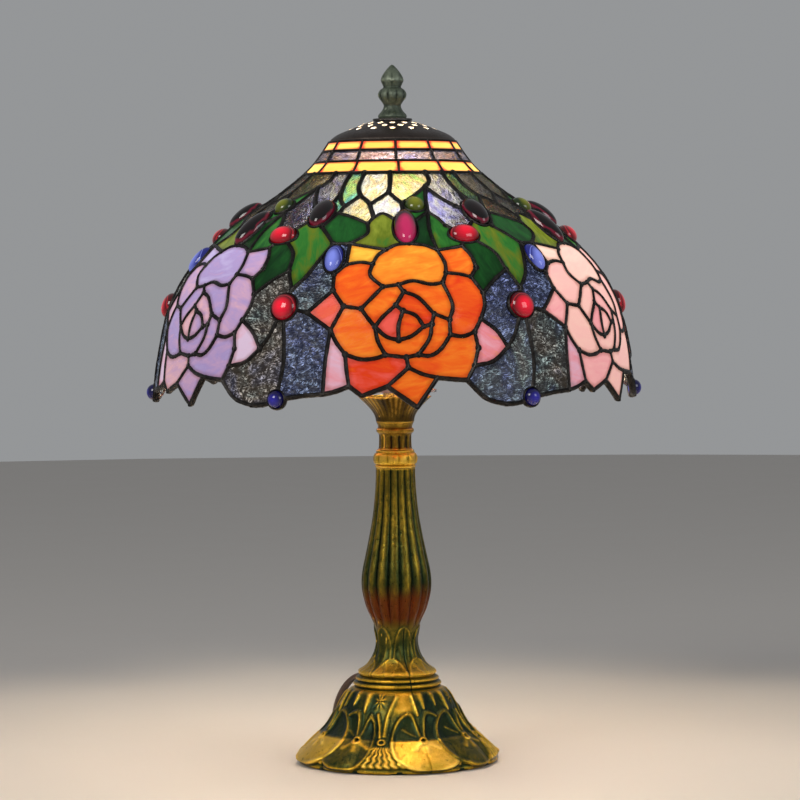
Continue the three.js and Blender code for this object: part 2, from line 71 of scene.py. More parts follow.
# Where lead lines meet or bend: (degrees from the rose's middle, height)
JOINTS = {
    # the rose's outline, from its top left corner round to the right
    "a1": (-15.2, 322.5), "a2": (-4.4, 318.8), "a3": (2.4, 322.4), "a4": (10.4, 318.3),
    "a5": (18.2, 320.6), "a6": (20.2, 308), "a7": (18, 302.5), "a8": (20.4, 293.3),
    "a9": (18.7, 278), "a10": (16.8, 270.5), "a11": (17.4, 261.2), "a12": (14.4, 243),
    "a13": (7.4, 244.5), "a14": (2.8, 227.6), "a15": (-3.8, 239.8), "a16": (-9.6, 234.4),
    "a17": (-12.5, 240), "a18": (-13.5, 258.2), "a19": (-17.2, 272.3), "a20": (-23.4, 282.4),
    "a21": (-17.5, 295.2), "a22": (-17.9, 304.4), "a23": (-15, 310.3),
    # inside the rose
    "b1": (-7.9, 310.5), "b2": (-5, 297.2), "b3": (-1.1, 298.3), "b4": (0.2, 294.2),
    "b5": (11.5, 305), "b6": (10.2, 299.3), "b7": (10.9, 277.8), "b8": (-14.4, 286),
    "b9": (-10.1, 284.6), "b10": (-6.7, 274), "b11": (10.9, 269.1), "b12": (-4.3, 257.8), "b13": (0.5, 256.3),
    "b14": (0.9, 250.4), "b15": (3.3, 257.8), "b16": (7.3, 281.3), "b17": (4.7, 274),
    "b18": (6.6, 275.3), "b19": (-1.8, 286.5), "b20": (-0.1, 283.2), "b21": (-1.2, 266.3),
    # the bends of its curved lines
    "m1": (-1.5, 321.6), "m2": (7, 321.2), "m3": (19.9, 315), "m4": (20.2, 286),
    "m5": (-6.6, 315.6), "m6": (-11.2, 311.6), "m7": (-8.3, 304), "m8": (2.6, 300.5),
    "m9": (7, 298.5), "m10": (11.7, 311), "m11": (15, 304.2), "m12": (12, 286.5),
    "m13": (3.7, 290.8), "m14": (2.9, 280.4), "m15": (-4.1, 268.4), "m16": (1.8, 268.6),
    "m17": (5.9, 267), "m18": (8.5, 261), "m19": (6, 257.2), "m20": (13.9, 268.1),
    "m21": (4.2, 246.5), "m22": (-9.9, 255.4), "m23": (-6.6, 255.9), "m24": (-6, 265.8),
    "m25": (-1.2, 274.6), "m26": (-4.9, 279.8), "m28": (12.2, 243.3),
    "m29": (-13.1, 249), "m30": (-15.8, 265.5), "m31": (-8.6, 279.7),
    # leaves and the pieces over them
    "l1": (-23.2, 341), "l2": (-26.8, 332.7), "l3": (-20.5, 322.6), "l4": (10.8, 341.3),
    "l5": (15.6, 332.9), "l6": (29, 306.8), "l7": (31.4, 296),
    "n1": (-22.6, 345.6), "n2": (-12, 346.6), "n3": (1.5, 347.2), "n4": (24, 345.4),
    "u1": (-9.2, 338.3), "u2": (-11, 334.6), "s1": (-17.8, 351.8), "s2": (-4.3, 354),
    "s3": (14.8, 357.2), "d1": (-28.4, 353),
    "x1": (-29.5, 366), "x2": (-20.4, 366), "x3": (-3.9, 366), "x4": (18.6, 366),
    "p1": (-17, 338.4), "p2": (-10.6, 328.5), "p3": (-23.2, 327.6), "p4": (37.4, 315),
    "p5": (34.6, 304), "p6": (12.4, 350), "p7": (9.6, 330), "p8": (24.8, 301.3),
    "p9": (27.5, 318), "p10": (-5.4, 340.3), "p11": (-20.6, 358), "p12": (-3.9, 359),
    "p13": (18.6, 361), "p14": (13.8, 337.5), "p15": (-29.6, 360), "p16": (-25.6, 348.6),
    "p17": (-14.2, 349.2), "p18": (-8.8, 349.7), "p19": (7.5, 351.5), "p20": (19.8, 350.2),
    # jewels, which stand on the lines' ends
    "red": (30.3, 285.7), "blue": (-18.9, 313.8), "ruby": (20.5, 327.5),
    "garnet": (1.7, 332.4), "plum": (30.2, 340.5), "olive": (6.5, 345.2), "bead": (30.2, 232),
    # the ground and the rim
    "w1": (24.9, 261.5), "w2": (16.2, 251), "w3": (22.4, 271), "w4": (21, 253.6),
    "y1": (-18.5, 235.3), "y2": (-18.1, 255), "e1": (23.6, 228.4), "e2": (18.9, 231.9),
    "e3": (15.6, 239.5), "e4": (27, 229), "e5": (33.5, 233.2), "e6": (37.5, 234.6),
    "g1": (27.4, 270), "g2": (31.6, 255), "g4": (-15.6, 237),
}
# The lead lines. A dot before a name makes it a bend and not a meeting; + is the next sector's.
LEADS = """
a1 a2 .m1 a3 .m2 a4 a5 .m3 a6 a7 a8 .m4 a9 a10 a11 w2 a12
a17 .m29 a18 .m30 a19 a20 a21 a22 a23 a1
a23 .m6 b1 .m7 b2 b3 .m8 .m9 b6 b5 .m11 a7
a2 .m5 b1 | a4 .m10 b5 | b3 b4 .m13 b16 b7 | b6 .m12 b7 b11
b2 b9 b8 a21 | b8 a19 | b9 .m31 b10 .m24 b12 b13 b15 .m19 .m18 b11 .m20 a10
b4 b19 .m26 b10 .m15 b21 .m16 b17 b18 b16 | b18 .m17 b15 | b19 b20 .m14 b17 | b20 .m25 b21
b13 b14 .m21 a13 | b14 a15 | b12 .m23 .m22 a18
x2 .p11 s1 .p17 n2 | s1 n1 l1 .p1 u2 u1 n2 .p18 s2 .p12 x3 | s2 n3 garnet
n3 .p19 s3 .p13 x4 | s3 .p6 l4 .p14 l5 ruby plum | s3 .p20 n4 plum | l4 garnet | u1 .p10 garnet
x1 .p15 d1 .p16 n1 | d1 plum- | l1 l2 plum- | l2 .p3 l3 a1 .p2 u2 | l4 .p7 a4 | a3 garnet
a5 ruby .p9 l6 l7 red | l6 .p8 a8 | l3+ .p4 .p5 l7 | l3 blue a22
red a20+ | red .g1 w1 .w3 a9 | w1 .w4 w2 | red .g2 bead | a19 .y2 y1
"""
RIM = "a12 .e3 .e2 e1 .e4 bead .e5 .e6 y1+ | y1 .g4 a17 a16 a15 a14 a13 .m28 a12"
# What a piece of glass is: its kind, and then a point inside it and how far along its colours it is
GLASS = {
    "rose": [
        (-11, 316, 0.12), (2, 309, 0.3), (15, 312, 0.5), (-12, 301, 0.55), (-18.5, 284, 0.85),
        (6, 294, 0.45), (15.5, 287, 0.66), (-5.5, 288, 0.5), (3.5, 286, 0.75), (-3.4, 275, 1.0),
        (1.3, 275, 0.62), (0, 262, 0.5), (8, 268, 0.56), (12, 257, 0.5), (-10.5, 268, 0.45),
        (-7, 247, 0.86), (2.5, 238, 0.52),
    ],
    "petal": [(20, 263, 0.7), (-15.6, 248, 0.4)],
    "leaf": [
        (-7, 329, 0.86), (-18, 331, 0.42), (6.5, 330, 0.2), (12.5, 329, 0.62), (24, 312, 0.3),
        (32, 318, 0.74), (6, 349, 0.5),
    ],
    "crown": [
        (-25, 357, 0.75), (-12, 357, 0.3), (5, 357, 0.55), (23, 357, 0.1), (-17, 344, 0.4),
        (-6, 345, 0.2), (18, 344, 0.0), (-26, 343, 0.9),
    ],
}
# Each jewel: half width, half length along the glass, dome, and slot
JEWELS = {
    "red": (8, 8, 5, "red_jewel_glass"), "blue": (5.3, 9.6, 4, "blue_jewel_glass"),
    "ruby": (9.2, 6.8, 5, "red_jewel_glass"), "garnet": (6.8, 15.2, 5.5, "dark_jewel_glass"),
    "plum": (7, 12.5, 5.5, "dark_jewel_glass"), "olive": (6, 6.6, 4.5, "leaf_glass"),
    "bead": (5, 5, 4.6, "blue_jewel_glass"),
}
BAND_LINES = [386, 380.05, 373.25, 366.2]  # heights of the lead rings that bound the three bands
BAND_JOINTS = [0.2, 0.3, 1.7]  # degrees from the rose's middle to each band's first joint
BAND_STEP = 30.0
BAND_PANES = round(360 / BAND_STEP)
BAND_NAMES = ["band_upper_amber", "band_middle_iridescent", "band_lower_amber"]


# ------------------------------------------------------------------ making meshes
SHARP_ANGLE = 50.0  # degrees


def in_scene(name, data):
    """A new object, linked into the scene."""
    made = bpy.data.objects.new(name, data)
    bpy.context.scene.collection.objects.link(made)
    return made


class Batch:
    """Closed pieces gathered into one mesh, with what the materials read from each point."""

    def __init__(self):
        self.points, self.faces, self.tints, self.flows, self.edges = [], [], [], [], []

    def add(self, points, faces, tint=0.0, flow=None, edge=None):
        start = len(self.points)
        self.points.extend(map(tuple, points))
        self.faces.extend(tuple(start + i for i in face) for face in faces)
        self.tints.extend(np.broadcast_to(tint, len(points)))
        self.flows.extend(map(tuple, points if flow is None else flow))
        self.edges.extend([1.0] * len(points) if edge is None else edge)

    def move(self, place):
        self.points = [tuple(place @ Vector(p)) for p in self.points]

    def build(self, name, body, slot, finish, replaces=()):
        mesh = bpy.data.meshes.new(name)
        mesh.from_pydata([Vector(p) * MM for p in self.points], [], self.faces)
        mesh.update()
        for key, kind, field, values in (
            ("tint", "FLOAT", "value", self.tints),
            ("edge", "FLOAT", "value", self.edges),
            ("flow", "FLOAT_VECTOR", "vector", self.flows),
        ):
            made = mesh.attributes.new(key, kind, "POINT")
            made.data.foreach_set(field, np.array(values, np.float32).ravel())
        mesh.shade_smooth()
        mesh.set_sharp_from_angle(angle=math.radians(SHARP_ANGLE))
        mesh.materials.append(MATERIALS[finish])
        piece = in_scene(name, mesh)
        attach(piece, body)
        if replaces:
            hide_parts(*replaces)
        return piece


def smooth_line(points, step):
    """A Catmull-Rom curve through points, in steps of about that length."""
    pts = np.array(points, float)
    out = []
    for i in range(len(pts) - 1):
        p1, p2 = pts[i], pts[i + 1]
        p0 = pts[i - 1] if i else 2 * p1 - p2
        p3 = pts[i + 2] if i + 2 < len(pts) else 2 * p2 - p1
        count = max(1, round(float(np.linalg.norm(p2 - p1)) / step))
        t = np.arange(count)[:, None] / count
        out.append(
            0.5 * (2 * p1 + (p2 - p0) * t + (2 * p0 - 5 * p1 + 4 * p2 - p3) * t**2
                   + (3 * p1 - p0 - 3 * p2 + p3) * t**3)
        )
    return np.concatenate(out + [pts[-1:]])


def straight_line(points, step):
    """The same, but with straight runs and sharp corners."""
    pts = np.array(points, float)
    out = [pts[:1]]
    for p, q in zip(pts, pts[1:]):
        count = max(1, round(float(np.linalg.norm(q - p)) / step))
        out.append(p + (q - p) * np.arange(1, count + 1)[:, None] / count)
    return np.concatenate(out)


def strip_faces(rows, sides, closed=False):
    """The quads between rows of points, each row a ring of `sides` points."""
    faces = []
    for i in range(rows if closed else rows - 1):
        for k in range(sides):
            a, b = i * sides + k, i * sides + (k + 1) % sides
            c, d = ((i + 1) % rows) * sides + (k + 1) % sides, ((i + 1) % rows) * sides + k
            faces.append((a, b, c, d))
    return faces


def turned(batch, outer, inner, relief=None, sides=96):
    """A closed turned piece: outer from bottom to top, inner from top to bottom, as [radius, height] rows.
    relief(azimuth in degrees, height, length along the outside, radius) gives how far the outside stands out
    and up, and perhaps how gilt it is. If it doesn't, what stands out is gilt."""
    profile = np.concatenate([np.array(outer, float), np.array(inner, float)])
    azimuth = np.arange(sides) * 360 / sides
    radius = np.repeat(profile[:, :1], sides, 1)
    height = np.repeat(profile[:, 1:], sides, 1)
    tint = np.zeros(radius.shape)
    if relief is not None:
        n = len(outer)
        steps = np.linalg.norm(np.diff(profile[:n], axis=0), axis=1)
        run = np.concatenate([[0], np.cumsum(steps)])[:, None]
        out, up, *gilding = relief(azimuth[None, :], height[:n], run, radius[:n])
        radius[:n] += out
        height[:n] += up
        tint[:n] = gilding[0] if gilding else out
    spin = np.radians(azimuth)[None, :]
    points = np.stack([radius * np.sin(spin), -radius * np.cos(spin), height], -1)
    batch.add(points.reshape(-1, 3), strip_faces(len(profile), sides, True), tint.ravel())


def turned_piece(name, body, slot, finish, node_name, outer, inner, relief=None, sides=96):
    """One turned piece, in place of a CAD node."""
    batch = Batch()
    turned(batch, outer, inner, relief, sides)
    return batch.build(name, body, slot, finish, [node_name])


def swept(batch, path, half_wide, half_high, ups=None, section=None, closed=False):
    """A tube along a path. Its section is an ellipse, or the points given.
    `ups` is the way its height points."""
    path = np.array(path, float)
    count = len(path)
    if closed:
        tangent = np.roll(path, -1, 0) - np.roll(path, 1, 0)
    else:
        tangent = np.gradient(path, axis=0)
    tangent /= np.linalg.norm(tangent, axis=1)[:, None]
    ups = np.tile([0.0, 0.0, 1.0], (count, 1)) if ups is None else np.array(ups, float)
    side = np.cross(ups, tangent)
    side /= np.linalg.norm(side, axis=1)[:, None]
    ups = np.cross(tangent, side)
    if section is None:
        turn = np.arange(8) * math.tau / 8
        section = np.column_stack([np.cos(turn), np.sin(turn)])
    section = np.array(section, float)
    wide = np.broadcast_to(half_wide, (count,))
    high = np.broadcast_to(half_high, (count,))
    points = (
        path[:, None]
        + side[:, None] * (section[None, :, :1] * wide[:, None, None])
        + ups[:, None] * (section[None, :, 1:] * high[:, None, None])
    )
    sides = len(section)
    faces = strip_faces(count, sides, closed)
    if not closed:
        faces.append(tuple(range(sides))[::-1])
        faces.append(tuple(range((count - 1) * sides, count * sides)))
    batch.add(points.reshape(-1, 3), faces)


# ------------------------------------------------------------------ the shade's surface
outline = smooth_line(SHADE_OUTLINE, 0.6)[::-1]
outline_run = np.concatenate([[0], np.cumsum(np.linalg.norm(np.diff(outline, axis=0), axis=1))])


def shade_radius(height):
    return np.interp(height, outline[:, 1], outline[:, 0])


def shade_run(height):
    """Length up the glass from the lowest point of the outline."""
    return np.interp(height, outline[:, 1], outline_run)


def height_at(run):
    return np.interp(run, outline_run, outline[:, 1])


def out_of_shade(degrees, height):
    """The direction straight out of the glass."""
    fall = shade_radius(height - 1) - shade_radius(height + 1)
    length = np.hypot(2, fall)
    azimuth = np.radians(degrees + ROSE_AZIMUTH)
    return np.stack(
        [np.sin(azimuth) * 2 / length, -np.cos(azimuth) * 2 / length, fall / length], -1
    )


def on_shade(degrees, height, depth=0.0):
    degrees, height = np.asarray(degrees, float), np.asarray(height, float)
    azimuth, radius = np.radians(degrees + ROSE_AZIMUTH), shade_radius(height)
    spot = np.stack([radius * np.sin(azimuth), -radius * np.cos(azimuth), height], -1)
    return spot - depth * out_of_shade(degrees, height)


def in_jewel(degrees, height, share=1.0):
    """True where a point is under a jewel."""
    found = np.zeros(np.shape(degrees), bool)
    for name, (wide, long, _, _) in JEWELS.items():
        middle, level = JOINTS[name]
        away = (np.asarray(degrees) - middle + SECTOR / 2) % SECTOR - SECTOR / 2
        across = np.radians(away) * shade_radius(level)
        along = shade_run(height) - shade_run(level)
        found |= (across / wide) ** 2 + (along / long) ** 2 < share**2
    return found


# ------------------------------------------------------------------ the pattern of lead and glass
def lead_segments():
    """Every stretch of lead between two meetings: start, end, [degrees, height] rows, and is it on the rim.
    The lowest ring of the bands has None there, because make_leading has its own lead for it."""
    found = []
    for text, on_rim in ((LEADS, False), (RIM, True)):
        for line in text.replace("\n", "|").split("|"):
            names = line.split()
            starts = [i for i, name in enumerate(names) if not name.startswith(".")]
            for i, j in zip(starts, starts[1:]):
                found.append((names[i : j + 1], on_rim))
    segments = []
    for sector in range(SECTORS):
        for names, on_rim in found:
            nodes, points = [], []
            for name in names:
                shift = name.endswith("+") - name.endswith("-")
                bare = name.strip(".+-")
                degrees, height = JOINTS[bare]
                points.append((degrees + SECTOR * (sector + shift), shade_run(height)))
                nodes.append((bare, (sector + shift) % SECTORS))
            scale = math.radians(1) * shade_radius(height_at(np.mean([p[1] for p in points])))
            curve = smooth_line([(d * scale, run) for d, run in points], 1.6)
            rows = np.column_stack([curve[:, 0] / scale, height_at(curve[:, 1])])
            segments.append((nodes[0], nodes[-1], rows, on_rim))
    top = [f"x{i}" for i in (1, 2, 3, 4)]
    for sector in range(SECTORS):
        for i, name in enumerate(top):
            after, extra = (top[i + 1], 0) if i < 3 else (top[0], 1)
            start = JOINTS[name][0] + SECTOR * sector
            end = JOINTS[after][0] + SECTOR * (sector + extra)
            degrees = np.linspace(start, end, 10)
            rows = np.column_stack([degrees, np.full(10, 366.0)])
            segments.append(((name, sector), (after, (sector + extra) % SECTORS), rows, None))
    return segments


def glass_outlines(segments):
    """The closed outlines between the lead lines, each as [degrees, height] rows."""
    halves, leaving = [], {}
    for start, end, rows, _ in segments:
        for a, b, way in ((start, end, rows), (end, start, rows[::-1])):
            leaving.setdefault(a, []).append(len(halves))
            halves.append((a, b, way))

    def bearing(h):
        way = halves[h][2]
        step = way[min(2, len(way) - 1)] - way[0]
        return math.atan2(step[1], math.radians(step[0]) * shade_radius(way[0][1]))

    for node in leaving:
        leaving[node].sort(key=bearing)
    outlines, used = [], set()
    for first in range(len(halves)):
        if first in used:
            continue
        rows, h = [], first
        while h not in used:
            used.add(h)
            way = halves[h][2]
            if rows:
                way = way + np.array([360 * round((rows[-1][0] - way[0][0]) / 360), 0])
            rows.extend(way if not rows else way[1:])
            around = leaving[halves[h][1]]
            h = around[around.index(h ^ 1) - 1]
        rows = np.array(rows)
        if abs(rows[-1][0] - rows[0][0]) < 1:  # not the line right round the top or the rim
            x, y = rows[:-1].T
            if np.sum(x * np.roll(y, -1) - y * np.roll(x, -1)) > 0:
                outlines.append(rows[:-1])
    return outlines


def inside(x, y, polygon):
    px, py = polygon.T
    qx, qy = np.roll(px, -1), np.roll(py, -1)
    crosses = (py > y) != (qy > y)
    at = px + (y - py) / np.where(qy == py, 1e-9, qy - py) * (qx - px)
    return bool(np.count_nonzero(crosses & (x < at)) % 2)


def kind_of(polygon):
    """The glass of a piece: (kind, how far along its colours, sector)."""
    near = math.floor(polygon[:, 0].mean() / SECTOR)
    for sector in range(near - 1, near + 3):
        for kind, seeds in GLASS.items():
            for degrees, height, tint in seeds:
                if inside(degrees + SECTOR * sector, height, polygon):
                    return kind, tint, sector % SECTORS
    return "ground", rng.random(), near % SECTORS


def distance_to(points, polygon):
    """How far each point is from the polygon's sides."""
    a, b = polygon, np.roll(polygon, -1, 0)
    side = b - a
    share = np.einsum("pqk,qk->pq", points[:, None] - a[None], side) / np.sum(side**2, 1)
    closest = a[None] + np.clip(share, 0, 1)[..., None] * side[None]
    return np.linalg.norm(points[:, None] - closest, axis=2).min(1)


FOIL = 0.35  # how far the glass stops short of the middle of a lead line
GRID = 3.4  # between the points inside a piece of glass
FLAT_SHARE = 0.8  # how flat a piece of glass is between its leads


def glass_mesh(rows, middle, scale):
    """A piece of glass laid flat, in mm: its points, its triangles and its outline."""
    flat = np.column_stack([(rows[:, 0] - middle) * scale, shade_run(rows[:, 1])])
    side = np.roll(flat, -1, 0) - np.roll(flat, 1, 0)
    side /= np.maximum(np.linalg.norm(side, axis=1), 1e-6)[:, None]
    flat = flat + FOIL * np.column_stack([-side[:, 1], side[:, 0]])
    low, high = flat.min(0), flat.max(0)
    grid = [
        (x + (j % 2) * GRID / 2, y)
        for j, y in enumerate(np.arange(low[1], high[1], GRID * 0.87))
        for x in np.arange(low[0], high[0], GRID)
    ]
    grid = np.array([g for g in grid if inside(g[0], g[1], flat)]).reshape(-1, 2)
    if len(grid):
        grid = grid[distance_to(grid, flat) > 0.45 * GRID]
    spots = [Vector(p) for p in np.concatenate([flat, grid])]
    made = geometry.delaunay_2d_cdt(spots, [], [list(range(len(flat)))], 1, 1e-4)
    points, triangles = np.array([tuple(v) for v in made[0]]), [tuple(t) for t in made[2]]
    for i, (a, b, c) in enumerate(triangles):
        if np.cross(points[b] - points[a], points[c] - points[a]) < 0:
            triangles[i] = (a, c, b)
    return points, triangles, flat


def outside_jewels(points, triangles, middle, scale):
    """The points and triangles that no jewel hides."""
    centre = np.array([points[list(t)].mean(0) for t in triangles])
    hidden = in_jewel(middle + centre[:, 0] / scale, height_at(centre[:, 1]), 0.9)
    triangles = [t for t, gone in zip(triangles, hidden) if not gone]
    used = sorted({i for t in triangles for i in t})
    index = {old: new for new, old in enumerate(used)}
    return points[used], [tuple(index[i] for i in t) for t in triangles]


def plate(batch, rows, tint, grain, relief=0.0):
    """A nearly flat piece of glass that fills an outline. grain is the way its streaks run, in degrees."""
    middle = rows[:, 0].mean()
    scale = math.radians(1) * float(shade_radius(rows[:, 1].mean()))
    points, triangles, flat = glass_mesh(rows, middle, scale)
    points, triangles = outside_jewels(points, triangles, middle, scale)
    if not triangles:
        return
    degrees, height = middle + points[:, 0] / scale, height_at(points[:, 1])
    away = distance_to(points, flat)
    outer = on_shade(degrees, height, OUTER_FACE)
    rim = on_shade(middle + flat[:, 0] / scale, height_at(flat[:, 1]), OUTER_FACE)
    heart = rim.mean(0)
    normal = np.linalg.svd(rim - heart)[2][2]
    share = FLAT_SHARE * np.clip(away / 5, 0, 1) ** 0.7
    outer = outer - (share * ((outer - heart) @ normal))[:, None] * normal
    out = out_of_shade(degrees, height)
    if relief:
        ripple = np.array([rng.uniform(-relief, relief) for _ in degrees])
        outer = outer + (ripple * np.clip(away / 3, 0, 1))[:, None] * out
    inner = outer - (INNER_FACE - OUTER_FACE) * out
    count = len(outer)
    faces = list(triangles) + [tuple(i + count for i in t[::-1]) for t in triangles]
    edges = {(a, b): True for t in triangles for a, b in zip(t, t[1:] + t[:1])}
    faces += [(b, a, a + count, b + count) for a, b in edges if (b, a) not in edges]
    turn = math.radians(grain)
    along = points[:, 0] * math.cos(turn) + points[:, 1] * math.sin(turn)
    across = points[:, 1] * math.cos(turn) - points[:, 0] * math.sin(turn)
    shift = rng.uniform(0, 900)
    flow = np.column_stack([along + shift, across, np.full(count, shift)])
    edge = np.clip(away / 4, 0, 1)
    batch.add(
        np.concatenate([outer, inner]), faces, tint, np.concatenate([flow, flow]),
        np.concatenate([edge, edge]),
    )


def lead_line(batch, rows, half_wide):
    """A lead line along [degrees, height] rows, left out under the jewels."""
    covered = in_jewel(rows[:, 0], rows[:, 1], 0.92)
    runs, run = [], []
    for row, hidden in zip(rows, covered):
        if hidden:
            runs.append(run)
            run = []
        else:
            run.append(row)
    for run in runs + [run]:
        if len(run) < 2:
            continue
        run = np.array(run)
        ups = out_of_shade(run[:, 0], run[:, 1])
        lumps = np.array([rng.uniform(0.93, 1.08) for _ in run])
        swept(
            batch, on_shade(run[:, 0], run[:, 1], LEAD_DEPTH), half_wide * lumps,
            LEAD_HIGH * (0.4 + 0.6 * lumps), ups,
        )


def dome(batch, degrees, height, wide, long, peak, depth, sides=28):
    """A cabochon on the glass, or a drop of solder: an ellipse that rises to a peak, with a domed back."""
    spot, out = on_shade(degrees, height), out_of_shade(degrees, height)
    azimuth = math.radians(degrees + ROSE_AZIMUTH)
    east = np.array([math.cos(azimuth), math.sin(azimuth), 0])
    north = np.cross(out, east)
    angles = np.arange(sides) * math.tau / sides
    rings = [(0.55, -depth - 0.9), (0.9, -depth - 0.4), (1.0, -depth + 0.3)]
    rings += [(math.cos(t), peak * math.sin(t)) for t in np.radians([0, 14, 28, 42, 56, 70, 80])]
    rows = [
        spot + out * level + share * (
            wide * np.cos(angles)[:, None] * east + long * np.sin(angles)[:, None] * north
        )
        for share, level in rings
    ]
    points = np.concatenate(rows + [[spot - out * (depth + 1)], [spot + out * peak]])
    faces = strip_faces(len(rows), sides)
    shares = np.concatenate([np.repeat([share for share, _ in rings], sides), [0, 0]])
    back, front = len(points) - 2, len(points) - 1
    last = (len(rows) - 1) * sides
    for k in range(sides):
        faces.append((back, (k + 1) % sides, k))
        faces.append((front, last + k, last + (k + 1) % sides))
    turn = np.concatenate([np.tile(angles, len(rings)), [0, 0]])
    flow = np.column_stack([shares * np.cos(turn), shares * np.sin(turn), 0 * turn])
    batch.add(points, faces, flow=flow, edge=1 - shares)


def bezel(batch, degrees, height, wide, long, half_wide):
    """The lead line round a jewel."""
    turn = np.radians(np.arange(0, 360, 12))
    scale = math.radians(1) * float(shade_radius(height))
    d = degrees + wide * np.cos(turn) / scale
    h = height_at(shade_run(height) + long * np.sin(turn))
    path = on_shade(d, h, LEAD_DEPTH)
    swept(batch, path, half_wide, LEAD_HIGH + 0.15, out_of_shade(d, h), closed=True)


# ------------------------------------------------------------------ camera and light
CAMERA_PLACE = (0.0032, -2.0, 0.31)  # metres, at the height of the shade
CAMERA_TILT, CAMERA_ROLL = 90 - 2.42, -0.49  # degrees
LENS, SENSOR = 144.6, 36
LAMP_MIDDLE = (0, 0, 0.2)  # where the studio lights point, in metres
FLOOR_RADIUS, FLOOR_SIDES = 3.2, 48  # metres


def make_camera():
    """At the height of the shade, two metres off, with a small roll."""
    data = bpy.data.cameras.new("camera")
    data.sensor_width = SENSOR
    data.lens = LENS
    data.clip_start = 0.05
    camera = in_scene("camera", data)
    camera.matrix_world = (
        Matrix.Translation(CAMERA_PLACE)
        @ Matrix.Rotation(math.radians(CAMERA_TILT), 4, "X")
        @ Matrix.Rotation(math.radians(CAMERA_ROLL), 4, "Z")
    )
    bpy.context.scene.camera = camera


def lamp_light(name, kind, energy, colour, place, size, aim=None):
    data = bpy.data.lights.new(name, kind)
    data.energy, data.color = energy, colour
    setattr(data, "size" if kind == "AREA" else "shadow_soft_size", size)
    light = in_scene(name, data)
    light.location = place
    if aim is not None:
        way = Vector(aim) - Vector(place)
        light.rotation_mode = "QUATERNION"
        light.rotation_quaternion = way.to_track_quat("-Z", "Y")


# ------------------------------------------------------------------ working with material nodes
class Level:
    """A number, vector or colour in a material's nodes. Arithmetic on one makes the nodes for it."""

    def __init__(self, socket):
        self.socket = socket

    def __add__(self, other):
        return maths("ADD", self, other)

    def __sub__(self, other):
        return maths("SUBTRACT", self, other)

    def __mul__(self, other):
        return maths("MULTIPLY", self, other)

    def __truediv__(self, other):
        return maths("DIVIDE", self, other)

    def clamped(self):
        """The same, kept between 0 and 1."""
        self.socket.node.use_clamp = True
        return self


def material(name):
    made = bpy.data.materials.new(name)
    made.use_nodes = True
    return made, made.node_tree, made.node_tree.nodes["Principled BSDF"]


def set_inputs(made, sockets):
    """Link or set a node's inputs, by name or by number."""
    for key, value in sockets.items():
        if isinstance(value, Level):
            made.id_data.links.new(value.socket, made.inputs[key])
        else:
            made.inputs[key].default_value = value


def node(tree, kind, sockets, output=0, **settings):
    """One output of a new node."""
    made = tree.nodes.new(kind)
    for key, value in settings.items():
        setattr(made, key, value)
    set_inputs(made, sockets)
    return Level(made.outputs[output])


def maths(operation, first, second=0.0):
    """What an operation makes of two levels, or of a level and a number."""
    level = first if isinstance(first, Level) else second
    return node(level.socket.id_data, "ShaderNodeMath", {0: first, 1: second}, operation=operation)


def attribute(tree, name, output="Fac"):
    return node(tree, "ShaderNodeAttribute", {}, output, attribute_name=name)


def part_of(tree, vector, number):
    return node(tree, "ShaderNodeSeparateXYZ", {0: vector}, number)


def noise(tree, vector, stretch, detail=3.0, rough=0.55, warp=0.0):
    """Smooth random patches. The higher a part of `stretch`, the finer they are along that axis."""
    vector = node(tree, "ShaderNodeVectorMath", {0: vector, 1: stretch}, operation="MULTIPLY")
    sockets = {"Vector": vector, "Scale": 1.0, "Detail": detail, "Roughness": rough, "Distortion": warp}
    return node(tree, "ShaderNodeTexNoise", sockets)


def ramp(tree, share, stops):
    """A colour, or a grey level, read from a share between 0 and 1."""
    made = node(tree, "ShaderNodeValToRGB", {"Fac": share})
    elements = made.socket.node.color_ramp.elements
    elements[0].position, elements[1].position = stops[0][0], stops[-1][0]
    for place, _ in stops[1:-1]:
        elements.new(place)
    for element, (_, colour) in zip(elements, stops):
        element.color = (*colour, 1) if isinstance(colour, tuple) else (colour, colour, colour, 1)
    return made


def mix(tree, share, first, second, blend="MIX"):
    sockets = {0: share, 6: first, 7: second}
    return node(tree, "ShaderNodeMix", sockets, 2, data_type="RGBA", blend_type=blend)


def scaled(tree, colour, share):
    return node(tree, "ShaderNodeVectorMath", {0: colour, "Scale": share}, operation="SCALE")


def bump(tree, height, strength, distance):
    """Normals for the fine relief of a surface."""
    return node(tree, "ShaderNodeBump", {"Strength": strength, "Distance": distance, "Height": height})


def place_of(tree):
    """A point's place on the object, in metres, which turns with it."""
    return node(tree, "ShaderNodeTexCoord", {}, "Object")


def lit_share(tree, near):
    """How strongly the bulb lights the glass: 1 at the distance `near`, and less further off."""
    sockets = {0: place_of(tree), 1: (0, 0, BULB_MIDDLE * MM)}
    away = node(tree, "ShaderNodeVectorMath", sockets, "Value", operation="DISTANCE")
    return maths("DIVIDE", near, away)


def ridges(tree, vector, stretch, warp, sharp):
    """A mask of thin lines along the crests of a rippled surface, where glints are painted, and the ripple
    itself.
    """
    wave = noise(tree, vector, stretch, 2.5, 0.6, warp)
    return ramp(tree, maths("ABSOLUTE", wave - 0.5), [(0.0, 1.0), (sharp * 0.5, 0.35), (sharp, 0.0)]), wave


# ------------------------------------------------------------------ kinds of glass, metal and plastic
# Painted shade along the leads: glass darker there, and amber redder as well
LEAD_SHADE = [(0.28, (0.62, 0.55, 0.5)), (0.75, (1.0, 1.0, 1.0))]
RED_SHADE = [(0.1, (0.75, 0.05, 0.3)), (0.42, (1.0, 1.0, 1.0))]
OPAL_BODY = 0.16  # how much of its colour opalescent glass shows when it isn't lit through


